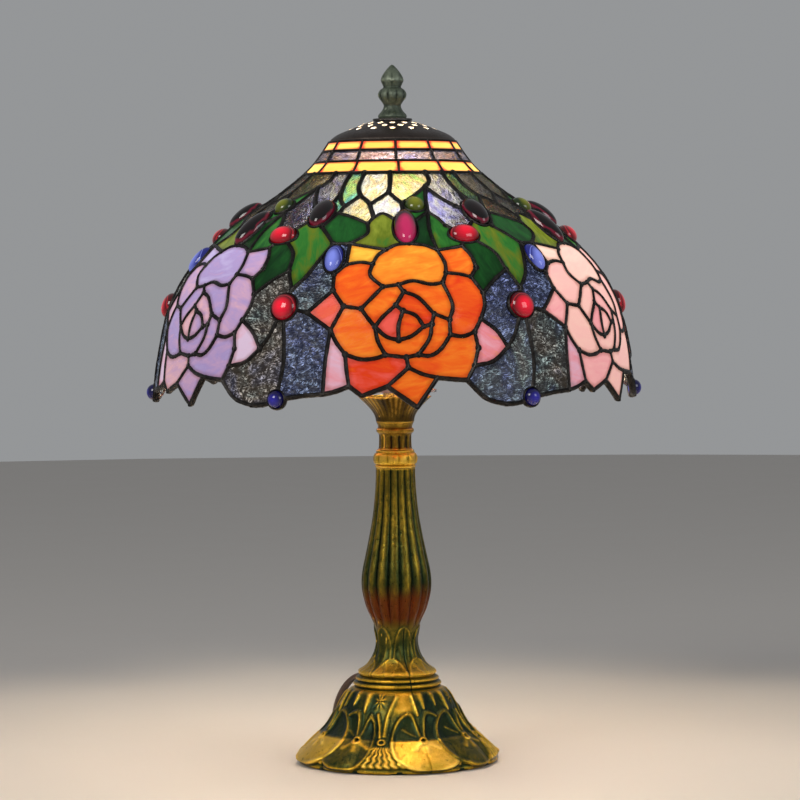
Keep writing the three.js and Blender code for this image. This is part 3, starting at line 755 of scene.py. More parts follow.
def opal_glass(name, stops, glow, streak, grain=0.045, near=0.13, shade=LEAD_SHADE):
    """Streaky opalescent glass, its light from the bulb behind it painted as a glow. `shade` is its painted
    shade against its leads.
    """
    made, tree, shader = material(name)
    flow = attribute(tree, "flow", "Vector")
    cloud = noise(tree, flow, (grain, 2.6 * grain, grain), 3, 0.5, 0.9)
    wisp = noise(tree, flow, (2 * grain, 9 * grain, grain), 4, 0.6, 1.4)
    wander = (cloud - 0.5) * (streak * 1.7) + (wisp - 0.5) * (streak * 0.5)
    colour = ramp(tree, (attribute(tree, "tint") + wander).clamped(), stops)
    edge = ramp(tree, attribute(tree, "edge"), shade)
    set_inputs(shader, {
        "Base Color": scaled(tree, colour, OPAL_BODY),
        "Emission Color": scaled(tree, mix(tree, 1.0, colour, edge, "MULTIPLY"), lit_share(tree, near)),
        "Emission Strength": glow,
        "Roughness": wisp * 0.2 + 0.1,
        "Specular IOR Level": 0.1,
        "Coat Weight": 0.03,
        "Coat Roughness": 0.08,
        "Normal": bump(tree, noise(tree, flow, (0.12, 0.3, 0.12), 3, 0.6, 0.5), 0.25, 0.0008),
    })
    return made


def ground_glass():
    """Dark rippled glass with an iridescent skin, with painted glints along its crests and a faint painted
    glow all over.
    """
    made, tree, shader = material("ground_glass")
    flow = attribute(tree, "flow", "Vector")
    patch = noise(tree, flow, (0.045, 0.045, 0.045), 2, 0.5, 0.6)
    hue = attribute(tree, "tint") * 0.45 + patch * 0.55
    base = ramp(tree, hue, [
        (0.25, (0.004, 0.007, 0.02)), (0.42, (0.005, 0.008, 0.03)), (0.55, (0.008, 0.01, 0.012)),
        (0.68, (0.018, 0.012, 0.006)), (0.85, (0.004, 0.008, 0.03)),
    ])
    # The iridescent colours of the painted glints along the crests
    painted_glint = ramp(tree, hue, [
        (0.25, (0.5, 0.66, 0.9)), (0.42, (0.3, 0.36, 0.8)), (0.55, (0.5, 0.66, 0.64)),
        (0.68, (0.62, 0.56, 0.5)), (0.85, (0.42, 0.5, 0.95)),
    ])
    broad, wave = ridges(tree, flow, (0.3, 0.13, 0.3), 1.5, 0.035)
    fine, _ = ridges(tree, flow, (0.62, 0.4, 0.5), 0.8, 0.03)
    broken = ramp(tree, noise(tree, flow, (0.3, 0.3, 0.3), 2), [(0.42, 0.03), (0.62, 1.0)])
    crest = (broad * 0.8 + fine * 0.4).clamped() * broken
    set_inputs(shader, {
        "Base Color": mix(tree, crest, base, painted_glint),
        "Emission Color": mix(tree, crest, scaled(tree, base, 0.6), painted_glint),
        "Emission Strength": 0.6,
        "Roughness": ramp(tree, wave, [(0.3, 0.2), (0.8, 0.42)]),
        "Specular IOR Level": 0.35,
        "Coat Weight": 0.1,
        "Coat Roughness": 0.12,
        "Normal": bump(tree, wave, 0.8, 0.0022),
    })
    return made


def crown_glass(name, stops):
    """Dim, clear rippled glass with an iridescent skin, which the bulb shows through, and painted glints
    along its crests.
    """
    made, tree, shader = material(name)
    flow = attribute(tree, "flow", "Vector")
    wash = noise(tree, flow, (0.09, 0.14, 0.05), 3, 0.6, 1.3)
    colour = ramp(tree, attribute(tree, "tint") * 0.5 + wash * 0.75, stops)
    crest, wave = ridges(tree, flow, (0.16, 0.5, 0.3), 1.6, 0.06)
    set_inputs(shader, {
        "Base Color": colour,
        "Emission Color": scaled(tree, colour, crest),
        "Emission Strength": 0.7,
        "Transmission Weight": 1.0,
        "IOR": 1.3,
        "Roughness": ramp(tree, wave, [(0.3, 0.08), (0.8, 0.22)]),
        "Normal": bump(tree, wave, 0.6, 0.0018),
    })
    return made


def jewel_glass(name, deep, bright, glow, rim=None, fall=0.25):
    """Pressed glass with its light painted in: painted shade at its edge and, by `fall`, at its top, a
    painted glow low in it where the light gathers, and a thin painted bright line near its rim."""
    made, tree, shader = material(name)
    cloud = noise(tree, place_of(tree), (90, 90, 90), 2, 0.5, 0.4)
    up = part_of(tree, attribute(tree, "flow", "Vector"), 1)
    inward = (attribute(tree, "edge") + (cloud - 0.5) * 0.3 - up * fall).clamped()
    between = tuple((a + b) / 2 for a, b in zip(deep, bright))
    stops = [(0.0, deep), (0.06, rim or deep), (0.14, deep), (0.4, between), (0.8, bright)]
    colour = ramp(tree, inward, stops)
    set_inputs(shader, {
        "Base Color": scaled(tree, colour, 0.6),
        "Emission Color": colour,
        "Emission Strength": glow,
        "Roughness": ramp(tree, cloud, [(0, 0.04), (1, 0.12)]),
        "Specular IOR Level": 0.4,
        "Coat Weight": 0.3,
        "Coat Roughness": 0.03,
        "Normal": bump(tree, cloud, 0.05, 0.0004),
    })
    return made


def metal(name, stops, grain, rough, metallic, bumps=0.35, depth=0.0006, rub=0.0, tone=None, stain=None):
    """A cast, plated or painted metal: its colour wanders through the stops, further along where it stands
    out. `rub` is how much further for each mm of relief, tone(tree) is added along the piece, and
    stain is a [low, high, colour] between two heights."""
    made, tree, shader = material(name)
    spot = place_of(tree)
    patch = noise(tree, spot, (grain * 0.35,) * 3, 4, 0.65, 0.6)
    speck = noise(tree, spot, (grain * 4, grain * 4, grain * 2.2), 3, 0.7)
    crest = node(tree, "ShaderNodeNewGeometry", {}, "Pointiness")
    share = patch * 0.5 + speck * 0.25 + (crest - 0.5) * 3.0 + attribute(tree, "tint") * rub
    if tone is not None:
        share = share + tone(tree)
    colour = ramp(tree, share, stops)
    if stain is not None:
        low, high, hue = stain
        along = (part_of(tree, spot, 2) - low * MM) / ((high - low) * MM) + (patch - 0.5) * 0.5
        stained = ramp(tree, along, [(0, 0.0), (0.25, 0.85), (0.65, 0.85), (1, 0.0)])
        colour = mix(tree, stained, colour, (*hue, 1))
    set_inputs(shader, {
        "Base Color": colour,
        "Roughness": ramp(tree, speck, [(0.3, rough[0]), (0.7, rough[1])]),
        "Metallic": metallic,
        "Normal": bump(tree, patch + speck, bumps, depth),
    })
    return made


def plain(name, dark, light, rough, grain, bumps, coat=0.0, glow=None):
    """Moulded plastic, felt, porcelain or paint, with a fine mottle. glow is (dark, light, strength)."""
    made, tree, shader = material(name)
    mottle = noise(tree, place_of(tree), (grain,) * 3, 4, 0.6)
    set_inputs(shader, {
        "Base Color": mix(tree, mottle, (*dark, 1), (*light, 1)),
        "Roughness": ramp(tree, mottle, [(0.2, rough * 0.85), (0.8, min(1.0, rough * 1.15))]),
        "Coat Weight": coat,
        "Normal": bump(tree, mottle, bumps, 0.0004),
    })
    if glow:
        set_inputs(shader, {
            "Emission Color": mix(tree, mottle, (*glow[0], 1), (*glow[1], 1)),
            "Emission Strength": glow[2],
        })
    return made


def cup_tone(tree):
    """The cup gets more gilt toward its tips."""
    sockets = {0: part_of(tree, place_of(tree), 2), 1: 214 * MM, 2: 228 * MM, 3: 0.0, 4: 0.08}
    return node(tree, "ShaderNodeMapRange", sockets, interpolation_type="SMOOTHSTEP")


def column_tone(tree):
    """Gilt at the column's foot, green above it and gilt again under the collar."""
    share = (part_of(tree, place_of(tree), 2) - 0.054) / 0.129
    return ramp(tree, share, [(0, 0.1), (0.05, 0.06), (0.1, 0.0), (0.2, 0.0), (0.6, 0.05), (1, 0.14)])


# ------------------------------------------------------------------ the lamp's materials
MATERIALS = {
    "solder": metal(
        "solder", [(0.2, (0.004, 0.004, 0.004)), (0.55, (0.013, 0.011, 0.01)), (0.8, (0.07, 0.065, 0.06))],
        300, (0.28, 0.5), 0.8, bumps=0.5, depth=0.0007,
    ),
    "bronze": metal(
        "bronze", [(0.2, (0.02, 0.014, 0.012)), (0.45, (0.05, 0.036, 0.03)), (0.8, (0.16, 0.13, 0.11))],
        200, (0.3, 0.5), 0.7,
    ),
    "verdigris": metal(
        "verdigris", [(0.2, (0.015, 0.022, 0.014)), (0.38, (0.07, 0.09, 0.06)), (0.7, (0.26, 0.3, 0.22))],
        240, (0.35, 0.6), 0.45, rub=0.22,
    ),
    "steel": metal(
        "steel", [(0.2, (0.3, 0.3, 0.3)), (0.8, (0.62, 0.62, 0.62))], 120, (0.25, 0.4), 0.95, bumps=0.15
    ),
    "brass": metal(
        "brass", [(0.2, (0.4, 0.26, 0.08)), (0.8, (0.8, 0.6, 0.25))], 120, (0.2, 0.35), 0.95, bumps=0.12
    ),
    "iron": metal(
        "iron", [(0.2, (0.03, 0.028, 0.026)), (0.8, (0.14, 0.12, 0.11))], 220, (0.5, 0.8), 0.6, bumps=0.6
    ),
    "gilt_foot": metal("gilt_foot", [
        (0.12, (0.006, 0.018, 0.01)), (0.28, (0.022, 0.036, 0.008)), (0.42, (0.15, 0.115, 0.01)),
        (0.58, (0.58, 0.34, 0.02)), (0.85, (1.0, 0.66, 0.1)),
    ], 130, (0.26, 0.46), 0.85, bumps=0.5, depth=0.0007, rub=1.0),
    "column": metal("column_patina", [
        (0.12, (0.008, 0.018, 0.006)), (0.3, (0.035, 0.045, 0.008)), (0.45, (0.15, 0.115, 0.012)),
        (0.65, (0.55, 0.34, 0.025)), (0.9, (0.95, 0.62, 0.08)),
    ], 120, (0.24, 0.46), 0.88, 0.55, 0.0008, 1.0, column_tone, (84, 112, (0.12, 0.022, 0.003))),
    "gilt_bright": metal("gilt_bright", [
        (0.15, (0.12, 0.08, 0.006)), (0.32, (0.7, 0.42, 0.03)), (0.6, (1.0, 0.72, 0.12)),
    ], 140, (0.26, 0.45), 0.85, rub=0.25),
    "neck": metal("neck_patina", [
        (0.15, (0.015, 0.013, 0.003)), (0.36, (0.22, 0.13, 0.01)), (0.6, (1.0, 0.62, 0.08)),
    ], 140, (0.26, 0.45), 0.85, rub=0.3),
    "gilt_cup": metal("gilt_cup", [
        (0.16, (0.012, 0.009, 0.003)), (0.4, (0.11, 0.065, 0.006)), (0.75, (0.8, 0.5, 0.07)),
    ], 150, (0.26, 0.45), 0.85, bumps=0.4, rub=0.3, tone=cup_tone),
    "felt": plain("felt", (0.012, 0.022, 0.012), (0.03, 0.05, 0.03), 0.95, 900, 0.8),
    "porcelain": plain("porcelain", (0.7, 0.68, 0.62), (0.85, 0.83, 0.78), 0.25, 200, 0.05, coat=0.5),
    "cord_brown": plain("cord_brown", (0.035, 0.018, 0.01), (0.07, 0.036, 0.022), 0.45, 500, 0.25),
    "black_plastic": plain("black_plastic", (0.012, 0.012, 0.013), (0.03, 0.03, 0.032), 0.4, 700, 0.3),
    "bulb": plain(
        "bulb", (0.9, 0.88, 0.82), (1, 1, 0.95), 0.35, 60, 0.02,
        glow=((1, 0.96, 0.86), (1, 0.98, 0.92), 14.0),
    ),
    # The cap's pale inside and the walls of its vents, with the bulb's light through the vents painted as a
    # glow
    "painted_bulb_glow": plain(
        "painted_bulb_glow", (0.8, 0.72, 0.62), (0.9, 0.84, 0.75), 0.4, 200, 0.05,
        glow=((1, 0.62, 0.25), (1, 0.7, 0.35), 0.35),
    ),
    "ground": ground_glass(),
    "crown": crown_glass("crown", [
        (0.25, (0.035, 0.035, 0.11)), (0.38, (0.09, 0.09, 0.12)), (0.5, (0.11, 0.115, 0.1)),
        (0.62, (0.12, 0.09, 0.04)), (0.74, (0.07, 0.12, 0.035)), (0.88, (0.02, 0.07, 0.07)),
    ]),
    "iris": crown_glass("iris", [
        (0.25, (0.08, 0.08, 0.28)), (0.38, (0.2, 0.2, 0.32)), (0.48, (0.3, 0.27, 0.32)),
        (0.6, (0.24, 0.17, 0.22)), (0.74, (0.12, 0.16, 0.24)), (0.9, (0.05, 0.12, 0.16)),
    ]),
    "amber": opal_glass("amber", [
        (0, (1, 0.66, 0.13)), (0.5, (1, 0.5, 0.07)), (1, (1, 0.3, 0.04)),
    ], 1.3, 0.35, grain=0.05, near=0.07, shade=RED_SHADE),
    "rose_1": opal_glass("rose_orange", [
        (0, (1, 0.56, 0.06)), (0.25, (1, 0.3, 0.025)), (0.55, (0.9, 0.13, 0.012)),
        (0.8, (0.78, 0.05, 0.01)), (1, (0.88, 0.11, 0.08)),
    ], 0.98, 0.45),
    "rose_2": opal_glass("rose_pink", [
        (0, (1.0, 0.7, 0.56)), (0.4, (0.98, 0.56, 0.48)), (0.7, (0.97, 0.48, 0.45)), (1, (0.92, 0.36, 0.38)),
    ], 1.0, 0.4),
    "rose_3": opal_glass("rose_lilac", [
        (0, (0.64, 0.54, 0.86)), (0.35, (0.5, 0.37, 0.7)), (0.65, (0.67, 0.42, 0.66)), (1, (0.95, 0.54, 0.6)),
    ], 0.76, 0.7),
    "petal": opal_glass("petal_pink", [
        (0, (0.8, 0.6, 0.78)), (0.45, (0.9, 0.4, 0.48)), (0.7, (0.88, 0.24, 0.28)), (1, (1, 0.35, 0.08)),
    ], 0.88, 0.6),
    "leaf": opal_glass("leaf", [
        (0, (0.004, 0.02, 0.008)), (0.25, (0.008, 0.05, 0.012)), (0.5, (0.015, 0.12, 0.02)),
        (0.65, (0.04, 0.22, 0.03)), (0.8, (0.16, 0.22, 0.016)), (1, (0.32, 0.38, 0.04)),
    ], 0.6, 0.38),
    "red_jewel_glass": jewel_glass(
        "red_jewel", (0.06, 0.0, 0.002), (0.85, 0.006, 0.03), 0.6, (0.4, 0.01, 0.02)
    ),
    "blue_jewel_glass": jewel_glass(
        "blue_jewel", (0.015, 0.02, 0.2), (0.22, 0.27, 0.85), 0.45, (0.2, 0.25, 0.8), 0.5
    ),
    "bead": jewel_glass("blue_bead", (0.004, 0.003, 0.06), (0.02, 0.016, 0.3), 0.35),
    "dark_jewel_glass": jewel_glass("garnet", (0.02, 0.001, 0.006), (0.6, 0.02, 0.12), 0.42, fall=0.7),
    # Near black, with a painted bright line near its rim; the garnets away from the orange roses take it as
    # painted shade
    "plum": jewel_glass("plum", (0.002, 0.0006, 0.001), (0.012, 0.002, 0.004), 0.08, (0.3, 0.008, 0.04), 0.0),
    "leaf_glass": jewel_glass("olive_jewel", (0.012, 0.03, 0.004), (0.22, 0.24, 0.01), 0.35),
}
ROSE_SLOTS = ["orange_glass", "pink_glass", "lilac_glass"]


# ------------------------------------------------------------------ the shade
def make_glass(segments):
    """All the glass between the lead lines. Each rose panel is one piece, and so is each other kind."""
    batches = {}
    for rows in glass_outlines(segments):
        kind, tint, sector = kind_of(rows)
        if kind == "petal" and sector % 3 == 2:
            tint = 0.05  # pale beside the lilac roses
        key = (kind, sector) if kind == "rose" else (kind, 0)
        grain = rng.uniform(-25, 25) if kind in ("rose", "petal") else rng.uniform(60, 120)
        plate(batches.setdefault(key, Batch()), rows, tint, grain, HAMMERING.get(kind, 0.04))
    for (kind, sector), batch in batches.items():
        if kind == "rose":
            colour = sector % 3
            batch.build(
                f"rose_glass_{sector + 1}", "shade", ROSE_SLOTS[colour],
                f"rose_{colour + 1}", [f"rose_panel_{sector + 1}"],
            )
    for kind, slot in (("petal", "pink_glass"), ("leaf", "leaf_glass")):
        batches[kind, 0].build(f"{kind}_glass", "shade", slot, kind)
    panels = [f"ground_panel_{k + 1}" for k in range(SECTORS)]
    batches["ground", 0].build("ground_glass", "shade", "ground_glass", "ground", panels)
    batches["crown", 0].build("crown_glass", "shade", "iridescent_glass", "crown", ["shade_crown"])


def make_bands():
    """Three rings of panes at the top of the glass."""
    for name, top, bottom, joint in zip(BAND_NAMES, BAND_LINES, BAND_LINES[1:], BAND_JOINTS):
        batch = Batch()
        for pane in range(BAND_PANES):
            left = joint + pane * BAND_STEP
            right = left + BAND_STEP
            corners = np.array([(left, bottom), (right, bottom), (right, top), (left, top), (left, bottom)])
            along = np.linspace(0, 1, 11)[:-1, None]
            sides = [p + (q - p) * along for p, q in zip(corners, corners[1:])]
            plate(batch, np.concatenate(sides), rng.uniform(0.0, 0.35), 0)
        middle = name == "band_middle_iridescent"
        slot = "iridescent_glass" if middle else "amber_glass"
        batch.build(name + "_panes", "shade", slot, "iris" if middle else "amber", [name])


def band_leads(batch):
    """The rings of lead round the bands, and the lead between their panes."""
    for height in BAND_LINES:
        degrees = np.arange(0, 360, 3.0)
        rows = np.full(len(degrees), height)
        path = on_shade(degrees, rows, LEAD_DEPTH)
        swept(batch, path, BAND_LEAD, LEAD_HIGH, out_of_shade(degrees, rows), closed=True)
    for top, bottom, joint in zip(BAND_LINES, BAND_LINES[1:], BAND_JOINTS):
        for pane in range(BAND_PANES):
            heights = np.linspace(bottom, top, 5)
            degrees = np.full(5, joint + pane * BAND_STEP)
            path = on_shade(degrees, heights, LEAD_DEPTH)
            swept(batch, path, PANE_LEAD, LEAD_HIGH, out_of_shade(degrees, heights))


def make_leading(segments):
    """All the lead: its lines, the drops of solder where they meet, and rings round the jewels and bands."""
    batch = Batch()
    for _, _, rows, on_rim in segments:
        if on_rim is not None:
            lead_line(batch, rows, RIM_WIDE if on_rim else LEAD_WIDE)
    meetings = {meeting for segment in segments if segment[3] is not None for meeting in segment[:2]}
    on_the_rim = {meeting for segment in segments if segment[3] for meeting in segment[:2]}
    for name, sector in sorted(meetings):
        degrees, height = JOINTS[name]
        if name not in JEWELS:
            size, depth = rng.uniform(*DROP_SIZES), DROP_DEPTH
            if (name, sector) in on_the_rim:
                size, depth = RIM_DROP_SIZE, RIM_DROP_DEPTH
            dome(batch, degrees + SECTOR * sector, height, size, size, 0.3, depth, 12)
    for sector in range(SECTORS):
        for name, (wide, long, _, _) in JEWELS.items():
            degrees, height = JOINTS[name]
            half_wide = BEAD_RING if name == "bead" else JEWEL_RING
            bezel(batch, degrees + SECTOR * sector, height, wide + 0.6, long + 0.6, half_wide)
    band_leads(batch)
    batch.build("shade_leading", "shade", "lead", "solder")


def make_jewels():
    for name, (wide, long, peak, slot) in JEWELS.items():
        for sector in range(SECTORS):
            batch = Batch()
            degrees, height = JOINTS[name]
            dome(batch, degrees + SECTOR * sector, height, wide, long, peak, JEWEL_DEPTH)
            replaced = [f"red_jewel_{sector + 1}"] if name == "red" else []
            finish = name if name in MATERIALS else slot
            if name == "garnet" and sector % 3:
                finish = "plum"  # painted light and shade: only the garnets over the orange roses are painted lit through, the rest shaded as plum
            batch.build(f"jewel_{name}_{sector + 1}", "shade", slot, finish, replaced)


CAP_SIDES = 144
CAP_OUTER = [
    (38.9, 386), (38.6, 387.2), (34.4, 390.3), (27.7, 393.2), (20.6, 396), (14.6, 398), (9, 398.6),
    (3.9, 398.6),
]
CAP_INNER = [(3.9, 397.9), (9, 397.8), (14, 397.1), (27.4, 392.4), (33.9, 389.6), (38, 385.9)]
VENT_ROWS, VENTS, VENT_RADIUS = [17, 21.8, 26.4], 14, 1.75
DRILL_HEIGHTS = (384, 404)


def vent_drills():
    """Rods to drill the cap with, in three staggered rows. Their sides carry the pale finish with a painted
    glow.
    """
    rods = Batch()
    turn = np.radians(np.arange(0, 360, 30))
    sides = len(turn)
    faces = strip_faces(2, sides) + [tuple(range(sides))[::-1], tuple(range(sides, 2 * sides))]
    for row, radius in enumerate(VENT_ROWS):
        for i in range(VENTS):
            azimuth = math.radians((i + row / 2) * 360 / VENTS)
            x = radius * math.sin(azimuth) + VENT_RADIUS * np.cos(turn)
            y = -radius * math.cos(azimuth) + VENT_RADIUS * np.sin(turn)
            ends = [np.column_stack([x, y, np.full(sides, z)]) for z in DRILL_HEIGHTS]
            rods.add(np.concatenate(ends), faces)
    mesh = bpy.data.meshes.new("vent_drills")
    mesh.from_pydata([Vector(p) * MM for p in rods.points], [], rods.faces)
    for finish in ("bronze", "painted_bulb_glow"):
        mesh.materials.append(MATERIALS[finish])
    mesh.polygons.foreach_set("material_index", [1] * len(mesh.polygons))
    return in_scene("vent_drills", mesh)


def make_cap():
    """The vented cap: a turned dome, pale inside with a painted glow, and drilled by three staggered rows of
    holes.
    """
    outer = smooth_line(CAP_OUTER, 0.9)
    cap = turned_piece(
        "vented_cap_pierced", "shade", "dark_bronze", "bronze", "vented_cap",
        outer, smooth_line(CAP_INNER, 1.5), sides=CAP_SIDES,
    )
    cap.data.materials.append(MATERIALS["painted_bulb_glow"])
    for polygon in cap.data.polygons[(len(outer) - 1) * CAP_SIDES :]:
        polygon.material_index = 1
    drills = vent_drills()
    cutting = cap.modifiers.new("vents", "BOOLEAN")
    cutting.operation, cutting.object, cutting.solver = "DIFFERENCE", drills, "EXACT"
    bpy.context.view_layer.update()
    cut = bpy.data.meshes.new_from_object(cap.evaluated_get(bpy.context.evaluated_depsgraph_get()))
    cap.modifiers.clear()
    cap.data = cut
    bpy.data.objects.remove(drills)


# ------------------------------------------------------------------ the shapes that reliefs are made of
def petals(azimuth, count, sharp=1.0, phase=0.0):
    """1 along the middle of each of `count` petals or reeds round a turned piece, and 0 between them."""
    return np.abs(np.cos(np.radians(azimuth + phase) * count / 2)) ** sharp


def hump(value, middle, width):
    """1 at the middle, fading to 0 at about `width` to its sides."""
    return np.exp(-(((value - middle) / width) ** 2))


def rise(value, low, over):
    """0 up to `low`, 1 from `low` + `over` on, and straight between. A negative `over` falls instead."""
    return np.clip((value - low) / over, 0, 1)


def around(azimuth, middle, period=360.0):
    """Degrees from a middle, between minus and plus half a period."""
    return (azimuth - middle + period / 2) % period - period / 2


def ridge(x, y, points, width):
    """1 along a line through [x, y] points, fading to 0 at about `width` to its sides."""
    best = np.zeros(np.broadcast(x, y).shape)
    for (ax, ay), (bx, by) in zip(points, points[1:]):
        dx, dy = bx - ax, by - ay
        share = np.clip(((x - ax) * dx + (y - ay) * dy) / (dx * dx + dy * dy), 0, 1)
        away = np.hypot(x - ax - share * dx, y - ay - share * dy)
        best = np.maximum(best, hump(away, 0, width))
    return best


def laid_on(under, over, cover):
    return under * (1 - cover) + over * cover


# ------------------------------------------------------------------ the finial
FINIAL_OUTLINE = [
    (8.5, 400.5), (8.9, 401.6), (8.3, 403), (6.3, 405.3), (5.3, 408.2), (6.2, 410.2), (8.2, 413.4),
    (8.5, 415.8), (7.4, 418), (5.4, 419.6), (5.9, 421.6), (6.7, 424), (6, 426.6), (4.4, 429.4), (2.3, 432),
    (0.6, 433.5), (TIP, 433.7),
]


def finial_relief(azimuth, height, run, radius):
    """Nine lobes low down, a six-petalled bud on top and a scalloped base."""
    lobes = petals(azimuth, 9, 0.7) - 0.6
    bud = petals(azimuth, 6, 0.8, 30) - 0.5
    tips = petals(azimuth, 6, 5.0)
    out = 0.9 * lobes * hump(height, 414.6, 3.4)
    out = out + 0.75 * bud * hump(height, 424.3, 4.2) + 0.9 * tips * hump(height, 424.6, 1.1)
    out = out + 0.3 * (petals(azimuth, 12) - 0.5) * hump(height, 404, 2.5)
    return out, -0.7 * tips * hump(height, 424.2, 1.4)


def make_finial():
    turned_piece(
        "finial_bud", "finial", "dark_bronze", "verdigris", "finial",
        smooth_line(FINIAL_OUTLINE, 0.35), [(TIP, 411.6), (3.5, 411.6), (3.5, 400.5)], finial_relief, 108,
    )


# ------------------------------------------------------------------ the stand
QUARTER = 90.0
GAP_AZIMUTH = -12.0  # the middle of the front gap between two pads, and then every quarter turn
# Each of the two pads at a gap: its middle from the gap's, its reach to the left and right, and the gilding
# of its lower half, partly rubbed wear and partly painted light from above
PADS = [(31, 24, 28, 0.27), (-19, 28, 13.5, -0.04)]
PAD_MIDDLE, PAD_HIGH, PAD_LOW = 25.2, 21.5, 23.5  # along the foot's outside, from its edge
NOTCH_HALF = 11.0  # degrees
MM_PER_DEGREE = 0.8
SEAM_AZIMUTH = 18.5
FOOT_OUTER = [
    (61.4, 0.4), (62.3, 1.2), (62.6, 3.6), (61.8, 5.8), (60, 7.9), (57.6, 10.2), (53, 14.2), (47.8, 18.8),
    (43.3, 23.8), (40.1, 29), (37.3, 34.4), (34.6, 39), (32.6, 42.2), (30.9, 44.6),
]
FOOT_RINGS = [
    (29.4, 45.8), (27.6, 46.5), (26.4, 46.9), (26.6, 47.6), (27.5, 48.6), (27.3, 49.8), (26, 50.4),
    (25.4, 50.9), (25.9, 51.8), (25.8, 52.8), (24.6, 53.5), (23.6, 54),
]
FOOT_INNER = [
    (BORE, 54), (BORE, 47.5), (22, 47.5), (35.5, 31.5), (37.8, 26), (46, 14.5), (54.5, 5.5), (55, 1.9),
    (61, 1.9), (61, 0.4),
]
# On the foot's front gap, in mm across it and along the foot's outside: stems, and tongues in degrees
STEMS = [
    ([(1, 29), (1.2, 34), (2, 41), (4.5, 48), (8.4, 55)], 1.4), ([(-1.5, 28), (-2.6, 35), (-5, 43)], 1.1),
    ([(24.8, 43), (23.6, 49), (22.2, 56)], 1.2),
]
TONGUES = [(-21, 43), (-37, 47), (38.6, 45)]
VALLEYS = [-13.5, 13, -38]


def lily_pad(turn, y, left, right, gold):
    """One pad's relief, gilding and cover. turn is in degrees from its middle, and y in mm up the foot."""
    x = turn * MM_PER_DEGREE
    wide = np.where(x > 0, right, left) * MM_PER_DEGREE
    high = np.where(y > 0, PAD_HIGH, PAD_LOW)
    away, way = np.hypot(x, y), np.degrees(np.arctan2(x, y))
    to_edge = (1 - (np.abs(x / wide) ** 2.2 + np.abs(y / high) ** 2.2) ** (1 / 2.2)) * 19
    to_notch = np.where(np.abs(way) < 90, away * np.sin(np.radians(np.abs(way) - NOTCH_HALF)), away)
    to_notch = np.maximum(to_notch, 3.2 - away)
    inward = -2.4 * np.log(np.exp(-to_edge / 2.4) + np.exp(-to_notch / 2.4)) + 0.6
    cover = np.clip(0.5 + inward / 0.7, 0, 1)
    rim = hump(inward, 1.3, 1.05)
    folds = ridge(x, y, [(0, -3), (0.5, -8)], 2.0) + ridge(x, y, [(-2, -2), (-6, -7)], 1.7)
    folds = folds + ridge(x, y, [(2.5, -2), (8, -6)], 1.5)
    folds = np.maximum(folds, 0.7 * ridge(x, y, [(-4, 3), (-12, 8)], 0.9))
    button = hump(away, 2.2, 0.8)
    lower, upper = rise(-y, 0, 1.2), rise(y, 0, 1.2)
    relief = 0.3 + 1.2 * rim + 0.45 * lower - 0.8 * upper * rise(inward, 1.5, 4)
    relief = relief + 0.7 * folds + 1.1 * button - 0.8 * hump(away, 0, 1.1)
    # The lower half's gilt is partly rubbed wear and partly painted light from the bulb above; the upper half
    # is darkened as painted shade
    gilt = gold * lower - 0.16 * upper + 0.13 * rim * (1 - lower * 0.5) + 0.2 * folds + 0.12 * button
    return relief, gilt, cover


def gap_relief(gap, run):
    """Relief and gilding between the pads: grass, a seed head, stems, tongues and a spray of rays."""
    across = gap * MM_PER_DEGREE
    shoulder = rise(run, 41, 5)
    fields = 0.3 * hump(gap, 18, 9) - 0.14 * (hump(gap, 45, 8) + hump(gap, -45, 8)) - 0.1 * hump(gap, -14, 4)
    stems = np.max([ridge(across, run, points, width) for points, width in STEMS], axis=0)
    tongues = 0 * run
    for turn, low in TONGUES:
        wide = 0.7 + 2.0 * rise(run, low, 8)
        tongue = np.exp(-(((gap - turn) * MM_PER_DEGREE / wide) ** 2)) * rise(run, low, 2)
        tongues = np.maximum(tongues, tongue)
    fan = np.hypot(across + 5, run - 52)
    rays = np.abs(np.sin(np.arctan2(across + 5, run - 52) * 4)) * hump(fan, 0, 5)
    seed = hump(np.hypot(across, run - 24), 2.0, 0.8)
    spread = 4.5 + 10 * rise(run, 21, -16)
    strands = np.sin(across / spread * 25 + 0.8 * np.sin(run * 1.2) + 0.4 * np.sin(across * 1.7 + run * 0.5))
    grassy = rise(run, 21, -2) * rise(run, 3.5, 1.5)
    out = -0.7 + 0.5 * shoulder + 1.4 * stems + 1.2 * tongues + 1.0 * rays + 1.5 * seed
    gilt = -0.07 + shoulder * fields + 0.16 * stems + 0.3 * tongues + 0.22 * rays + 0.2 * seed
    return out + grassy * (0.9 + 0.6 * strands), gilt + grassy * (0.26 + 0.14 * strands)


def casting_seam(azimuth, radius, half_wide):
    return hump(around(azimuth, SEAM_AZIMUTH) * math.radians(1) * radius, 0, half_wide)


